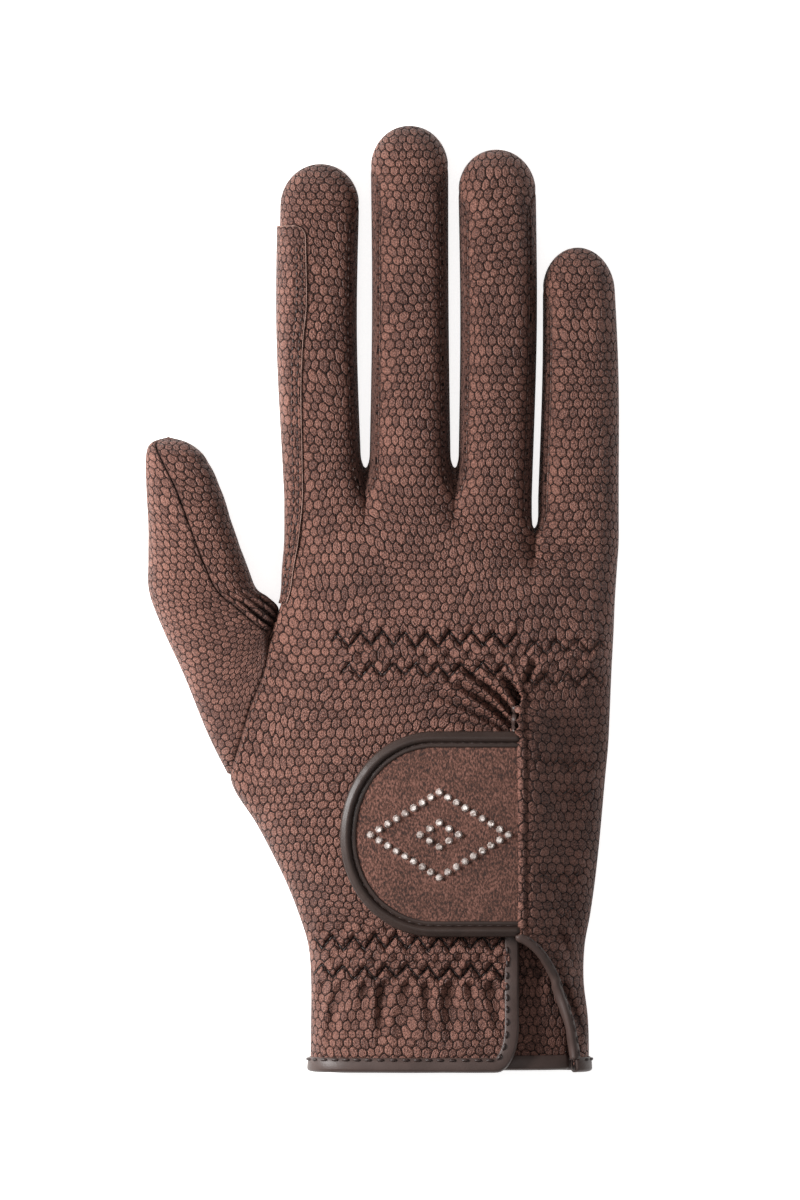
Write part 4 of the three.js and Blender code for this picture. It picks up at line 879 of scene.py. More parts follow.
def panel(side):
    # the four shares side by side, welded where they meet
    handY = panelRows(side)
    count = panelLook["columns"] if side > 0 else panelLook["palmColumns"]
    grids = [panelShare(side, k, handY, count) for k in range(4)]
    points, cloth, shade, rows = [np.concatenate([grid[i].reshape(-1, *grid[i].shape[2:]) for grid in grids])
                                  for i in range(4)]
    quads, offset = [], 0
    for grid in grids:
        high, wide = grid[0].shape[:2]
        quads.append(facesOfGrid(high, wide, offset, turned=side < 0))
        offset += high * wide
    return grids, handY, weld(points, np.concatenate(quads), [cloth, shade, rows])


panels = {}
for side, name in ((1, "back_panel"), (-1, "palm_panel")):
    panels[side] = panel(side)
    count = makeSheet(name + "_leather", *panels[side][2], leather, [name], "embossed_leather",
                      glove["leather"])
    print(name, count, "faces")

stripLook = {"rows": 70, "around": 15, "gap": .25, "under": .4, "tuck": .45, "pastRound": 2.4, "shade": .35}


def rimOfPanel(side, k, at, y, end):
    # the panel's edge at a seam, moved across the seam by the gap, which turns to a tuck at the tip
    step = 1e-3
    inwards = 1 if at == 0 else -1
    edge = skin(side, k, np.array(float(at)), y)
    into = skin(side, k, np.array(at + inwards * step), y) - edge
    ahead = skin(side, k, np.array(float(at)), y + step) - edge
    normal = unit(np.cross(into * inwards, ahead) * side)
    away = unit(np.cross(normal, ahead)) * side * inwards
    gap = mix(stripLook["gap"], -stripLook["under"], smooth(end - 4, end - .5, y))
    return edge + away * gap[..., None]


def fourchette(c, name):
    # the strip between two fingers: across it a curve of second degree from the back's seam
    # over a middle point at the finger's side to the palm's seam
    crotch, web, x = notchY[1][c], notchY[-1][c], crotchX[c]
    columns = []
    for k in (c, c + 1):
        end = tipY[k] - fingerRows["tipRound"] + stripLook["pastRound"]
        past = np.concatenate([[.5, 1, 1.5, 2.2, 3, 4, 5, 6, 7],
                               np.linspace(8, end - crotch, stripLook["rows"])])
        y = crotch + past
        low = web + mix(past, past * (end - web) / (end - crotch), smooth(0, end - crotch, past))
        low = np.minimum(low, end)
        at = 1 if k == c else 0
        top, under = rimOfPanel(1, k, at, y, end), rimOfPanel(-1, k, at, low, end)
        centre, half, _, edge, _ = fingerSection(k, low)
        slim = half - stripLook["tuck"] * smooth(end - 4, end - .5, low)
        out = centre + (slim if k == c else -slim)
        opened = 1 - (1 - np.clip((low - web + 1.4) / 5.6, 0, 1)) ** 2
        middle = np.stack([mix(x, out, opened), low, edge], axis=-1)
        rows = np.stack([top, middle, under], axis=1)
        columns.append(rows[::-1] if k == c else rows)
    apexTop = skin(1, c, np.array(1.0), np.array(crotch)) + [0, .5, 0]
    apexLow = skin(-1, c, np.array(1.0), np.array(web)) + [0, .5, 0]
    apex = np.array([[apexTop, [x, web, fingerSection(c, np.array(web))[3]], apexLow]])
    control = np.concatenate([columns[0], apex, columns[1]])
    r = np.linspace(0, 1, stripLook["around"])[None, :, None]
    a, m, b = control[:, None, 0], control[:, None, 1], control[:, None, 2]
    pull = 2 * m - .5 * a - .5 * b
    points = a * (1 - r) ** 2 + pull * 2 * r * (1 - r) + b * r * r
    around = arcAcross(points)
    lengthwise = np.broadcast_to(arcAlong(control[:, 1])[:, None], around.shape)
    cloth = np.stack([around + clothOffset["strips"] + 30 * c, lengthwise], axis=-1)
    shade = np.full(points.shape[:2], stripLook["shade"])
    sheet = weld(points.reshape(-1, 3), facesOfGrid(*points.shape[:2], turned=True),
                 [cloth.reshape(-1, 2), shade.reshape(-1)])
    makeSheet(name + "_leather", *sheet, leather, [name], "embossed_leather", glove["leather"])


for c, pair in enumerate(("index_middle", "middle_ring", "ring_little")):
    fourchette(c, "fourchette_" + pair)
print("strips between the fingers made")

thumbLook = {
    "gap": -.012, "last": .985, "rows": 96, "tipRows": 14, "columns": 91, "lip": .75, "lipWide": 1.0,
    "under": .65, "tuck": .9, "stretch": 1.06,
}
webLook = {"foldPitch": 1.9, "widening": 2.4, "deep": 2.0, "raised": .3, "small": .22, "smallCount": 14}


def thumbSkin(angle, v):
    # a point of the thumb: sections between a left and a right end, which lean from the hand's
    # edge at v = 0 to the tip at v = 1; above a squarish arch, below flat with round corners
    columns = ("leftX", "leftY", "rightX", "rightY", "top")
    value = {column: along(thumbRows, column, v, key="v") for column in columns}
    s = across(angle)
    t = (s + 1) / 2
    x = mix(value["leftX"], value["rightX"], t) * glove["width"]
    y = mix(value["leftY"], value["rightY"], t) * glove["length"]
    straight = mix(thumbRows["leftX"][0], thumbRows["rightX"][0], t) * glove["width"]
    x = x + (handSection(mix(thumbLow, thumbHigh, t))[0] - straight) * (1 - smooth(0, thumbRows["bow"], v))
    half = np.hypot((value["rightX"] - value["leftX"]) * glove["width"],
                    (value["rightY"] - value["leftY"]) * glove["length"]) / 2
    top = np.maximum(value["top"], glove["edgeShare"]) * glove["thumbDepth"]
    edge = glove["thumbDepth"] * glove["edgeShare"]
    rounded = np.sqrt(1 - smooth(.75, 1, v) ** 2)
    above = edge + (top - edge) * rounded * np.maximum(0, np.sin(angle)) ** (2 / fingerRows["squareness"])
    low = underside(edge, half * (1 - np.abs(s)), fingerRows["corner"] * np.maximum(half, 1e-6))
    own = np.where(angle >= 0, above, edge - (edge - low) * rounded)
    base = np.where(angle >= 0, thumbSeamHeight(1, s), thumbSeamHeight(-1, s))
    z = mix(base, own, smooth(0, thumbRows["bow"], v))
    return np.stack(np.broadcast_arrays(x, y, z), axis=-1)


def thumbSeam(side, v):
    # the angle at which the seam between the thumb's two pieces lies
    s = np.maximum(-1, along(thumbRows, "seam" if side > 0 else "under", v, key="v"))
    return side * np.arccos(signedPower(s, fingerRows["squareness"] / 2))


def webWrinkles(arc, v, u):
    # sharp folds that fan from the crotch, and small creases across the thumb's front: cosine waves; also the
    # painted shade in the folds
    inWeb = smooth(0, .03, v)[:, None] * (1 - smooth(.2, .42, v))[:, None]
    inWeb = inWeb * smooth(.01, .06, u)[None] * (1 - smooth(.34, .5, u))[None]
    wave = .5 + .5 * np.cos(2 * np.pi * arc / (webLook["foldPitch"] + webLook["widening"] * v[:, None]))
    creased = smooth(.5, .6, v)[:, None] * (1 - smooth(.8, .9, v))[:, None] * bell(u[None] - .25, .3)
    crease = .5 + .5 * np.cos(2 * np.pi * webLook["smallCount"] * v[:, None] + 2 * u[None])
    sink = inWeb * (webLook["deep"] * wave**2 - webLook["raised"])
    return sink + creased * webLook["small"] * crease**2, inWeb * (.5 + .5 * wave**1.2)


def thumbPiece(name, outerPiece):
    last = thumbLook["last"] if outerPiece else 1
    v = np.concatenate([[.004, .015, .03], np.linspace(.045, .8, thumbLook["rows"]),
                        np.linspace(.8, last, thumbLook["tipRows"])[1:]])
    u = np.linspace(0, 1, thumbLook["columns"])
    gap = thumbLook["gap"]
    start = thumbSeam(1, v) + (gap if outerPiece else -gap)
    end = 2 * np.pi + thumbSeam(-1, v) - gap if outerPiece else thumbSeam(-1, v) + gap
    angle = mix(start[:, None], end[:, None], u[None, :])
    angle = np.where(angle > np.pi, angle - 2 * np.pi, angle)
    points = thumbSkin(angle, v[:, None] + np.zeros_like(angle))
    arc = arcAcross(points)
    lengthwise = arcAlong(points[:, len(u) // 2])
    normals = unit(np.cross(np.gradient(points, axis=0), np.gradient(points, axis=1)))
    if np.mean(normals[20:40, 10:20, 2]) < 0:
        normals = -normals
    sink = np.zeros(arc.shape)
    shade = np.zeros(arc.shape)
    closing = (smooth(.03, .12, v) * (1 - smooth(.86, .97, v)))[:, None]
    for distance in (arc, arc[:, -1:] - arc):
        sink += closing * thumbLook["lip"] * roundOver(distance, thumbLook["lipWide"])
        shade = np.maximum(shade, closing * bell(distance, .5))
    # the inner piece's web folds bring their painted shade
    if not outerPiece:
        wrinkled, dark = webWrinkles(arc, v, u)
        sink += wrinkled
        shade = np.maximum(shade, dark)
    # the base runs on under the rim of the hand's opening
    sink[0] += thumbLook["under"]
    points = points - normals * sink[..., None]
    points[0, :, 0] += thumbLook["tuck"]
    stretch = thumbLook["stretch"]
    cloth = np.stack([arc * stretch + clothOffset["thumbOuter" if outerPiece else "thumbInner"],
                      np.broadcast_to(lengthwise[:, None] * stretch, arc.shape)], axis=-1)
    points, quads, extras = weld(points.reshape(-1, 3), facesOfGrid(*points.shape[:2]),
                                 [cloth.reshape(-1, 2), shade.reshape(-1)])
    uppermost = points[:, 2] > np.percentile(points[:, 2], 85)
    if cornerNormals(points, quads)[uppermost, 2].mean() < 0:
        quads = quads[:, ::-1]
    makeSheet(name + "_leather", points, quads, extras, leather, [name], "embossed_leather", glove["leather"])


thumbPiece("thumb_outer", True)
thumbPiece("thumb_inner", False)
print("thumb made")


patch = {
    "at": [.487, .51, .5487, .599, .656, .713, .77, .81, .893],
    "wide": [.2, .29, .4, .57, .65, .72, .86, 1, .93],
    "width": 7, "thickness": .7, "top": 210.5, "foot": 116, "under": 2.6, "raise": .75, "corner": 3,
    "rows": 90, "underColumns": 8, "topColumns": 17, "stitchAt": (1.1, 2.6), "stitchDeep": .3,
}


def indexPlace(x, y):
    # where across the index finger's share an x lies, and the skin's point and normal there
    seam = seamAngle(0, y)
    left, right = shareEnd(1, 0, y, -1), shareEnd(1, 0, y, 1)
    value = mix(across(np.pi), across(seam), np.clip((x - left) / (right - left), 0, 1))
    return (np.pi - np.arccos(np.clip(signedPower(value, 1.2), -1, 1))) / (np.pi - seam)


def skinNormal(side, k, c, y):
    # the skin's normal, from two short steps
    step = 1e-3
    p = skin(side, k, c, y)
    sign = np.where(c + step > 1, -1, 1)
    sideways = (skin(side, k, c + sign * step, y) - p) * sign[..., None]
    ahead = skin(side, k, c, y + step) - p
    return unit(np.cross(sideways, ahead) * side)


def indexPatch():
    # a sheet laid over the index finger's outer side, from the palm round to its stitched edge:
    # the skin's own points, raised along their normals and pressed in at the two stitch rows
    corner, middle = patch["corner"], patch["underColumns"]
    rounding = np.cos(np.linspace(0, np.pi / 2, 9))[1:]
    y = np.concatenate([np.linspace(patch["foot"], patch["top"] - corner, patch["rows"]),
                        patch["top"] - corner * rounding])
    u = np.concatenate([np.linspace(-1, 0, middle + 1), np.linspace(0, 1, patch["topColumns"])[1:]])
    ys = y[:, None] + np.zeros((1, len(u)))
    intoCorner = ((ys - patch["top"] + corner) / corner).clip(0, 1)
    wide = along(patch, "wide", ys / glove["length"]) * patch["width"]
    wide = wide * mix(.62, 1, np.sqrt(np.clip(1 - intoCorner**2, 0, 1)))
    wide = np.where(u[None] > 0, wide, patch["under"])
    c = indexPlace(shareEnd(1, 0, ys, -1) + np.abs(u[None]) * wide, ys)
    isAbove = (u >= 0)[None, :, None]
    points = np.where(isAbove, skin(1, 0, c, ys), skin(-1, 0, c, ys))
    normals = np.where(isAbove, skinNormal(1, 0, c, ys), skinNormal(-1, 0, c, ys))
    normals[:, middle] = unit(normals[:, middle] * [1, 1, 0])
    arc = arcAcross(points)
    fromRight = arc[:, -1:] - arc
    outer, inner = patch["stitchAt"]
    stitch = bell(fromRight - outer, .35) + .8 * bell(fromRight - inner, .35)
    height = patch["raise"] - patch["stitchDeep"] * stitch - .35 * roundOver(fromRight, .5)
    grid = points + normals * height[..., None]
    cloth = np.stack([arc * 1.1 + clothOffset["patch"], np.broadcast_to(y[:, None], arc.shape)], axis=-1)
    shade = .6 * np.clip(stitch, 0, 1)
    points, quads, extras = weld(grid.reshape(-1, 3), facesOfGrid(*grid.shape[:2]),
                                 [cloth.reshape(-1, 2), shade.reshape(-1)])
    if cornerNormals(points, quads)[:, 0].mean() > 0:
        quads = quads[:, ::-1]
    makeSheet("index_patch_leather", points, quads, extras, leather, ["index_patch"], "embossed_leather",
              patch["thickness"])
    return grid


patchGrid = indexPatch()
print("index patch made")


# a strip folded round the leather's edge: its width, how far it stands over the edge, its height
bindingLook = {"width": 2.9, "ventWidth": 1.5, "slitShare": .4, "over": .8, "crown": .72, "inSteps": 4}


def bindingProfile(width):
    # distance in from the edge and height above the face: a round nose over the leather's edge,
    # with both lips turned down onto the leather
    cloth, over, crown = glove["leather"], bindingLook["over"], bindingLook["crown"]
    turn = np.linspace(-np.pi / 2, np.pi / 2, 9)[::-1]
    nose = np.stack([-over * np.cos(turn), -cloth / 2 + (cloth / 2 + over) * np.sin(turn)], axis=-1)
    lip = np.array([(width, .02), (width, .35), (width - .25, .55), (width * .55, crown)])
    lower = (lip * [1, -1] - [0, cloth])[::-1]
    return np.concatenate([lip, nose, lower, [(-.1, -cloth - .02), (-.1, .02)]])


def framesAlong(edge, further, passes=2):
    # direction inwards and the face's normal at each point of an edge, evened along it
    path = unit(np.gradient(edge, axis=0))
    inward = further - edge
    inward = unit(inward - path * (inward * path).sum(-1, keepdims=True))
    for _ in range(passes):
        inward[1:-1] = unit(inward[:-2] + 2 * inward[1:-1] + inward[2:])
    return edge, inward, unit(np.cross(inward, path))


def sweep(frames, profile, flatten=1.0, narrow=1.0):
    # carries a closed profile along a path and caps both ends; flatten and narrow scale it
    edge, inward, normal = frames
    wide = profile[None, :, :1] * np.asarray(narrow).reshape(-1, 1, 1)
    high = profile[None, :, 1:] * np.asarray(flatten).reshape(-1, 1, 1)
    points = edge[:, None] + inward[:, None] * wide + normal[:, None] * high
    rows, size = points.shape[:2]
    i = np.arange(rows * size).reshape(rows, size)
    j = np.roll(i, -1, axis=1)
    quads = np.stack([i[:-1], j[:-1], j[1:], i[1:]], axis=-1).reshape(-1, 4)
    points = points.reshape(-1, 3)
    caps = []
    for row, order in ((i[0], [1, 0, 2, 3]), (i[-1], [0, 1, 2, 3])):
        centre = len(points)
        points = np.concatenate([points, points[row].mean(axis=0, keepdims=True)])
        fan = np.stack([row, np.roll(row, -1), np.full(size, centre), np.full(size, centre)], axis=-1)
        caps.append(fan[:, order])
    quads = np.concatenate([quads, *caps])
    # six times the volume, negative where the faces point inwards
    p, q, r, t = [points[quads[:, corner]] for corner in range(4)]
    volume = (p * np.cross(q, r)).sum() + (p * np.cross(r, t)).sum()
    return points, quads[:, ::-1] if volume < 0 else quads


def spaced(edge, further, step):
    # the same path at even spacing
    length = arcAlong(edge)
    at = np.linspace(0, length[-1], max(2, int(length[-1] / step)))
    return [valuesAlong(line, length, at) for line in (edge, further)]


(backGrids, backY, _), (palmGrids, _, _) = panels[1], panels[-1]
inSteps = bindingLook["inSteps"]
slitRows = np.nonzero(backY <= slit["top"] - 4)[0][::-1]
slitGrid = backGrids[2][0]
# down the slit, along the back's hem to the left, along the palm's to the right, and back to the vent:
# each stretch is its edge and a line further in that gives its direction
hemLines = [(slitGrid[slitRows, -1], slitGrid[slitRows, -1 - inSteps])]
hemLines += [(grid[0][0][::-1][1:], grid[0][5][::-1][1:]) for grid in backGrids[2::-1]]
hemLines += [(grid[0][0][1:], grid[0][2][1:]) for grid in palmGrids]
hemLines += [(backGrids[3][0][0][::-1][1:], backGrids[3][0][5][::-1][1:])]
hemEdge, hemIn = [np.concatenate(lines) for lines in zip(*hemLines)]
hemFrames = framesAlong(*spaced(hemEdge, hemIn, .6), passes=4)
# beside and above the tab the binding narrows
aboveTab = smooth(tab["middle"] - 12, tab["middle"] + 10, hemFrames[0][:, 1])
narrowing = mix(1, bindingLook["slitShare"], aboveTab)
points, faces = sweep(hemFrames, bindingProfile(bindingLook["width"]), narrow=narrowing)
makePiece("hem_binding_strip", points, faces, trim, ["hem_binding"], "smooth_leather")

ventRows = np.nonzero((backY >= 1.6) & (backY <= slit["vent"] + 1))[0]
ventGrid = backGrids[3][0]
ventFrames = framesAlong(*spaced(ventGrid[ventRows, 0], ventGrid[ventRows, inSteps], .6), passes=3)
points, faces = sweep(ventFrames, bindingProfile(bindingLook["ventWidth"]))
makePiece("vent_binding_strip", points, faces, trim, ["vent_binding"], "smooth_leather")
print("cuff bindings made")

gusset = {"depth": 2.9, "side": 3, "fromSide": 4, "belowTop": .6, "columns": 30, "pitch": 4.6, "zigAt": 24.5}


def backSkin(x, y):
    # the hand's back over x and y, without the flap's rise and the relief
    return np.stack(np.broadcast_arrays(x, y, handHeight(1, x, y)), axis=-1)


def backNormal(x, y):
    step = 1e-3
    p = backSkin(x, y)
    return unit(np.cross(backSkin(x + step, y) - p, backSkin(x, y + step) - p))


gussetY = runs([hemStand, 11, slit["vent"], slit["top"] - 16, slit["top"] - gusset["belowTop"]], .8)
gussetRight = flapEdge(gussetY) + gusset["side"] * smooth(0, slit["vent"], gussetY)
gussetRight = np.minimum(gussetRight, handSection(gussetY)[1] - gusset["fromSide"])
gussetLeft = slit["x"] - slit["cornerWidth"] - gusset["side"]
gussetX = mix(gussetLeft, gussetRight[:, None], np.linspace(0, 1, gusset["columns"])[None])
gussetYs = gussetY[:, None] + np.zeros_like(gussetX)
# behind the back's skin by the depth, with soft ripples and one zigzag row of the elastic
ripple = .5 * np.cos(2 * np.pi * (gussetX - 20) / gusset["pitch"])
ripple = ripple * smooth(12, 20, gussetYs) * (1 - smooth(26, 34, gussetYs))
zig = gusset["zigAt"] + 1.4 * triangleWave((gussetX - 20.5) / gusset["pitch"])
groove = bell(gussetYs - zig, .6)
inset = ripple * .5 - .5 * groove - gusset["depth"]
gussetPoints = backSkin(gussetX, gussetYs) + backNormal(gussetX, gussetYs) * inset[..., None]
gussetCloth = np.stack([gussetX + clothOffset["gusset"], gussetYs], axis=-1).reshape(-1, 2)
# its shade value is painted shade: .25 all over, where it lies set back behind the skin, and more along the
# zigzag groove
makeSheet("vent_gusset_leather", gussetPoints.reshape(-1, 3), facesOfGrid(*gussetX.shape),
          [gussetCloth, (.25 + .6 * groove).reshape(-1)], leather, ["vent_gusset"], "embossed_leather",
          glove["leather"])
gussetFrames = framesAlong(gussetPoints[0][::-1], gussetPoints[3][::-1])
points, faces = sweep(gussetFrames, bindingProfile(bindingLook["width"]))
makePiece("gusset_binding_strip", points, faces, trim, ["gusset_binding"], "smooth_leather")
print("gusset made")

tabLook = {"roll": 2.0, "rollHigh": 1.25, "lip": .95, "puff": .35, "pastSlit": .9, "rows": 101}
tabCentre = slit["x"] - tab["reach"] + tab["round"]
tabEnd = slit["x"] - hemStand


def tabHeight(x):
    # half the tab's height over x: round at its end, straight to the slit, narrower under the flap
    curved = np.sqrt(np.clip(1 - ((tabCentre - x) / tab["round"]) ** 2, 0, 1))
    outside = tab["halfHeight"] * np.where(x > tabCentre, 1, curved)
    return np.where(x > tabEnd + .1, tab["halfHeight"] - tab["inset"], outside)


def tabSurface(x, y, lift=0.0):
    # the back's skin raised by the tab's height, pressed down where the flap lies on it
    under = smooth(slit["x"] - glove["seamGap"], slit["x"] + tab["tuck"], x)
    lying = tabLift + tab["thickness"]
    middle = np.full_like(x, tab["middle"])
    tucked = flapRise(x + glove["leather"], middle) - glove["leather"] - 2 * layGap
    raised = mix(lying, np.minimum(lying, tucked), under) + lift
    return backSkin(x, y) + backNormal(x, y) * np.asarray(raised)[..., None]


tabX = np.concatenate([tabCentre - tab["round"] * np.cos(np.linspace(0, np.pi / 2, 50)),
                       np.linspace(tabCentre, tabEnd, 46)[1:], [tabEnd + .6],
                       np.linspace(slit["x"] + 1, slit["x"] + tab["tuck"], 8)])
tabT = np.linspace(-1, 1, tabLook["rows"])
gridX = tabX[:, None] + np.zeros((1, len(tabT)))
gridY = tab["middle"] + tabT[None] * tabHeight(gridX)
inside = np.minimum(tabHeight(gridX) - np.abs(gridY - tab["middle"]), gridX - tabX[0])
tabPoints = tabSurface(gridX, gridY, tabLook["puff"] * smooth(3, 10, inside))
points, quads, _ = weld(tabPoints.reshape(-1, 3), facesOfGrid(*gridX.shape, turned=True), [])
makeSheet("closing_tab_suede", points, quads, [], suede, ["closing_tab"], "suede", tab["thickness"])

# the tab's edge: along the lower side, round the end and back along the upper side
turns = np.linspace(-np.pi / 2, np.pi / 2, 90)
lowerX = np.linspace(slit["x"] + tabLook["pastSlit"], tabCentre, 50)[:-1]
edgeT = np.concatenate([-np.ones(len(lowerX)), np.sin(turns), np.ones(len(lowerX))])


def tabLine(inset):
    # the line that runs the inset in from the tab's edge
    x = np.concatenate([lowerX, tabCentre - (tab["round"] - inset) * np.cos(turns), lowerX[::-1]])
    return tabSurface(x, tab["middle"] + (tab["halfHeight"] - inset) * edgeT)


tabFrames = framesAlong(*spaced(tabLine(0), tabLine(3), .5), passes=3)


def rollProfile(width, cloth, high):
    # a full round roll over the edge, whose inner lip lies flat
    turn = np.linspace(np.pi * .5, -np.pi * .5, 11)
    over = bindingLook["over"]
    nose = np.stack([-over * np.cos(turn), -cloth / 2 + (cloth / 2 + over) * np.sin(turn)], axis=-1)
    crown = [(width, .02), (width - .05, .45), (width - .3, .85),
             (width * .72, high), (width * .45, high + .12), (width * .2, high - .05)]
    below = [(width, -cloth - .8), (width, -cloth - .02), (-.1, -cloth - .02), (-.1, .02)]
    return np.concatenate([crown, nose, below])


# under the flap the binding is pressed flat
underFlap = mix(1, .45, smooth(slit["x"] - .9, slit["x"] + .1, tabFrames[0][:, 0]))
roll = rollProfile(tabLook["roll"], tab["thickness"], tabLook["rollHigh"])
points, faces = sweep(tabFrames, roll, underFlap)
makePiece("tab_binding_roll", points, faces, tabTrim, ["tab_binding"], "smooth_leather")
lipStart = tabLook["roll"] - .1
lipEnd = lipStart + .4 + tabLook["lip"]
lipProfile = np.array([(lipStart, -.05), (lipStart, .25), (lipStart + .25, .2), (lipStart + .45, .42),
                       (lipEnd - .25, .42), (lipEnd, .25), (lipEnd, -.05)])
points, faces = sweep(tabFrames, lipProfile, underFlap)
makePiece("tab_binding_lip", points, faces, tabTrim, (), "smooth_leather")
print("closing tab made")

# the CAD's own stones, in glass
for name, node in frame["nodes"].items():
    if name.startswith("crystal"):
        for holder in [node, *node.children_recursive]:
            if holder.type == "MESH":
                holder.data.materials.clear()
                holder.data.materials.append(stone)
print("stones set")


def stitchRow(name, path, normal, look, material=thread, jitter=.08):
    # a row of stitches: a slim spindle of eight sides is placed at even steps along the path,
    # its long axis along the path and its back along the normal
    total = arcAlong(path)
    count = int(total[-1] / look["pitch"])
    number = np.arange(count)
    at = (number + .5) * look["pitch"] + jitter * look["pitch"] * np.sin(7.3 * number)
    place = valuesAlong(path, total, at)
    tangent = unit(valuesAlong(np.gradient(path, total, axis=0), total, at))
    up = unit(valuesAlong(normal, total, at))
    sideways = unit(np.cross(tangent, up))
    ring = np.linspace(0, 2 * np.pi, 9)[:-1]
    stations = np.linspace(-1, 1, 7)
    radius = look["thick"] / 2 * np.sqrt(np.clip(1 - np.abs(stations) ** 3, .03, 1))
    sag = -.35 * look["thick"] * stations**2
    lift = look.get("lift", 0.0)
    aside = radius[:, None] * np.cos(ring)[None]
    high = radius[:, None] * np.sin(ring)[None] + sag[:, None] + lift
    offset = (tangent[None, None] * (stations * look["length"] / 2)[:, None, None, None]
              + sideways[None, None] * aside[..., None, None] + up[None, None] * high[..., None, None])
    points = (place[None, None] + offset).transpose(2, 0, 1, 3)
    size = len(stations) * len(ring)
    i = np.arange(size).reshape(len(stations), len(ring))
    j = np.roll(i, -1, axis=1)
    side = np.stack([i[:-1], j[:-1], j[1:], i[1:]], axis=-1).reshape(-1, 4)
    end = np.array([[0, 1, 2, 3], [0, 3, 4, 5], [0, 5, 6, 7]])
    one = np.concatenate([side, i[0][end[:, [0, 3, 2, 1]]], i[-1][end]])
    faces = (one[None] + (number * size)[:, None, None]).reshape(-1, 4)
    makePiece(name, points.reshape(-1, 3), faces, material, (), "smooth_leather")


# "in" is how far in from the edge a row lies, "high" how far above the face
hemStitch = {"length": 2.1, "pitch": 3, "thick": .75, "in": 2.3, "high": .75}
ventStitch = {**hemStitch, "thick": .45, "in": 1.1, "high": .65}
tabStitch = {"length": 1.9, "pitch": 2.5, "thick": .36, "in": lipStart + .3, "high": .3}
seamStitch = {"length": 1.35, "pitch": 2.3, "thick": .36, "in": .85, "lift": .1}
thumbStitch = {**seamStitch, "in": 1.3, "lift": .08}
patchStitch = {"length": 1.25, "pitch": 1.9, "thick": .4, "lift": .16}
elasticStitch = {"thick": .34, "lift": .02, "short": .25}

belowVent = hemFrames[0][:, 1] < slit["vent"] - 1
for name, frames, look in (("hem_stitches", [part[belowVent] for part in hemFrames], hemStitch),
                           ("vent_stitches", ventFrames, ventStitch), ("tab_stitches", tabFrames, tabStitch)):
    edge, inward, normal = frames
    stitchRow(name, edge + inward * look["in"] + normal * look["high"], normal, look, darkThread)


def seamPath(grid, fromRight, distance, low, high):
    # the line that runs a distance in from a panel's edge, evened along its length
    points = grid[:, ::-1] if fromRight else grid
    rows = (points[:, 0, 1] > low) & (points[:, 0, 1] < high)
    points = points[rows][:, :14]
    j = np.argmin(np.abs(arcAcross(points)[:, 1:] - distance), axis=1) + 1
    picked = j[:, None, None].repeat(3, axis=2)
    at = np.take_along_axis(points, picked, axis=1)[:, 0]
    normal = np.take_along_axis(surfaceNormals(points, -1 if fromRight else 1), picked, axis=1)[:, 0]
    for _ in range(6):
        at[1:-1] = (at[:-2] + 2 * at[1:-1] + at[2:]) / 4
        normal[1:-1] = unit(normal[:-2] + 2 * normal[1:-1] + normal[2:])
    return at, normal


for c in range(3):
    for k in (c, c + 1):
        seam = seamPath(backGrids[k][0], k == c, seamStitch["in"], notchY[1][c] + 1, tipY[k] - 11)
        stitchRow(f"seam_stitches_{c}_{k}", *seam, seamStitch)
seam = seamPath(backGrids[0][0], False, thumbStitch["in"], thumbLow + 1, thumbHigh - 1)
stitchRow("thumb_base_stitches", *seam, thumbStitch)
for number, distance in enumerate(patch["stitchAt"]):
    seam = seamPath(patchGrid, True, distance, patch["foot"] + 2, patch["top"] - patch["corner"])
    stitchRow(f"patch_stitches_{number + 1}", *seam, patchStitch, darkThread)

# the patch's cut edge: a thin strip across its top and down its right side
start = patch["underColumns"]
edge = np.concatenate([patchGrid[-1, start:], patchGrid[::-1][1:, -1]])
further = np.concatenate([patchGrid[-4, start:], patchGrid[::-1][1:, -3]])
cutProfile = np.array([(.12, -.6), (.12, .1), (-.1, .05), (-.1, -.6)])
points, faces = sweep(framesAlong(*spaced(edge, further, .5)), cutProfile)
makePiece("index_patch_cut_edge", points, faces, cutEdge, (), "smooth_leather")

backPoints = np.concatenate([grid[0].reshape(-1, 3) for grid in backGrids])
backSides = np.concatenate([surfaceNormals(grid[0], 1).reshape(-1, 3) for grid in backGrids])


def ontoBack(x, y):
    # the points of the back nearest to a line drawn from above
    away = (backPoints[None, :, 0] - x[:, None]) ** 2 + (backPoints[None, :, 1] - y[:, None]) ** 2
    near = np.argmin(away, axis=1)
    return np.stack([x, y, backPoints[near, 2]], axis=-1), backSides[near]


for number, row in enumerate(elastics):
    pitch = np.hypot(row["pitch"] / 2, 2 * row["swing"]) / 2
    x = np.arange(row["from"], row["to"], .12)
    path, normal = ontoBack(x, zigzagLine(row, x))
    look = {**elasticStitch, "length": pitch - elasticStitch["short"], "pitch": pitch}
    stitchRow(f"elastic_stitches_{number + 1}", path, normal, look, darkThread, jitter=0)
print("stitches made")

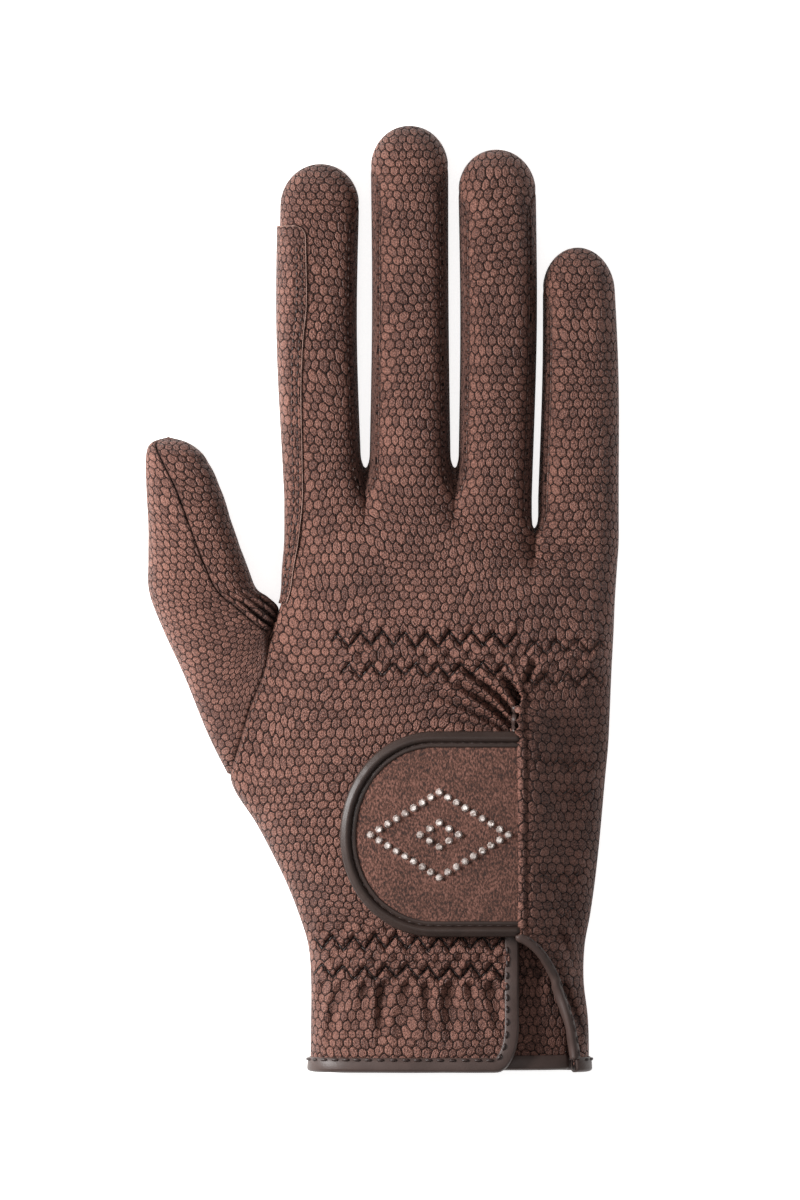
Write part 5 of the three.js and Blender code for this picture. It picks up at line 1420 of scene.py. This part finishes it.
# the camera looks straight down, far enough off to show the picture's 300 mm of height
stage = {
    "floor": "#f4f3f1", "glow": .8, "centreX": -12.75, "centreY": 32, "height": 300, "lens": 420,
    "sensor": 36, "above": .011, "world": .24, "aim": (-.01, .03, 0),
}
lights = [  # place in metres, size, power
    {"name": "key_softbox", "place": (-.4, .08, .26), "size": .16, "power": 4.1},
    {"name": "top_softbox", "place": (-.1, .15, 1.3), "size": .8, "power": 2.3},
    {"name": "fill_softbox", "place": (.8, -.5, .8), "size": .7, "power": .8},
]


def makeFloor():
    # a wide pale sheet just under the glove, which glows a little so that it stays white
    material, _, shader = startMaterial("plain_pale_floor")
    shader.inputs["Base Color"].default_value = colour(stage["floor"])
    shader.inputs["Roughness"].default_value = .9
    shader.inputs["Specular IOR Level"].default_value = .1
    shader.inputs["Emission Color"].default_value = colour("#ffffff")
    shader.inputs["Emission Strength"].default_value = stage["glow"]
    mesh = bpy.data.meshes.new("floor")
    mesh.from_pydata([(-3, -3, 0), (3, -3, 0), (3, 3, 0), (-3, 3, 0)], [], [(0, 1, 2, 3)])
    mesh.materials.append(material)
    floor = bpy.data.objects.new("floor", mesh)
    floor.location.z = -.0002
    scene.collection.objects.link(floor)


def addLight(look):
    # a square softbox that faces the glove
    light = bpy.data.lights.new(look["name"], "AREA")
    light.size = look["size"]
    light.energy = look["power"]
    holder = bpy.data.objects.new(look["name"], light)
    holder.location = look["place"]
    scene.collection.objects.link(holder)
    sight = Vector(stage["aim"]) - Vector(look["place"])
    holder.rotation_euler = sight.to_track_quat("-Z", "Y").to_euler()


makeFloor()
for look in lights:
    addLight(look)
world = bpy.data.worlds.new("studio")
world.use_nodes = True
background = world.node_tree.nodes["Background"]
background.inputs["Color"].default_value = colour("#ffffff")
background.inputs["Strength"].default_value = stage["world"]
scene.world = world
scene.view_settings.view_transform = "Standard"

camera = bpy.data.cameras.new("camera")
camera.lens = stage["lens"]
camera.sensor_width = stage["sensor"]
distance = stage["lens"] / stage["sensor"] * stage["height"] / 1000
holder = bpy.data.objects.new("camera", camera)
holder.location = (stage["centreX"] / 1000, stage["centreY"] / 1000, distance + stage["above"])
camera.clip_end = 20
scene.collection.objects.link(holder)
scene.camera = holder
print("stage set")
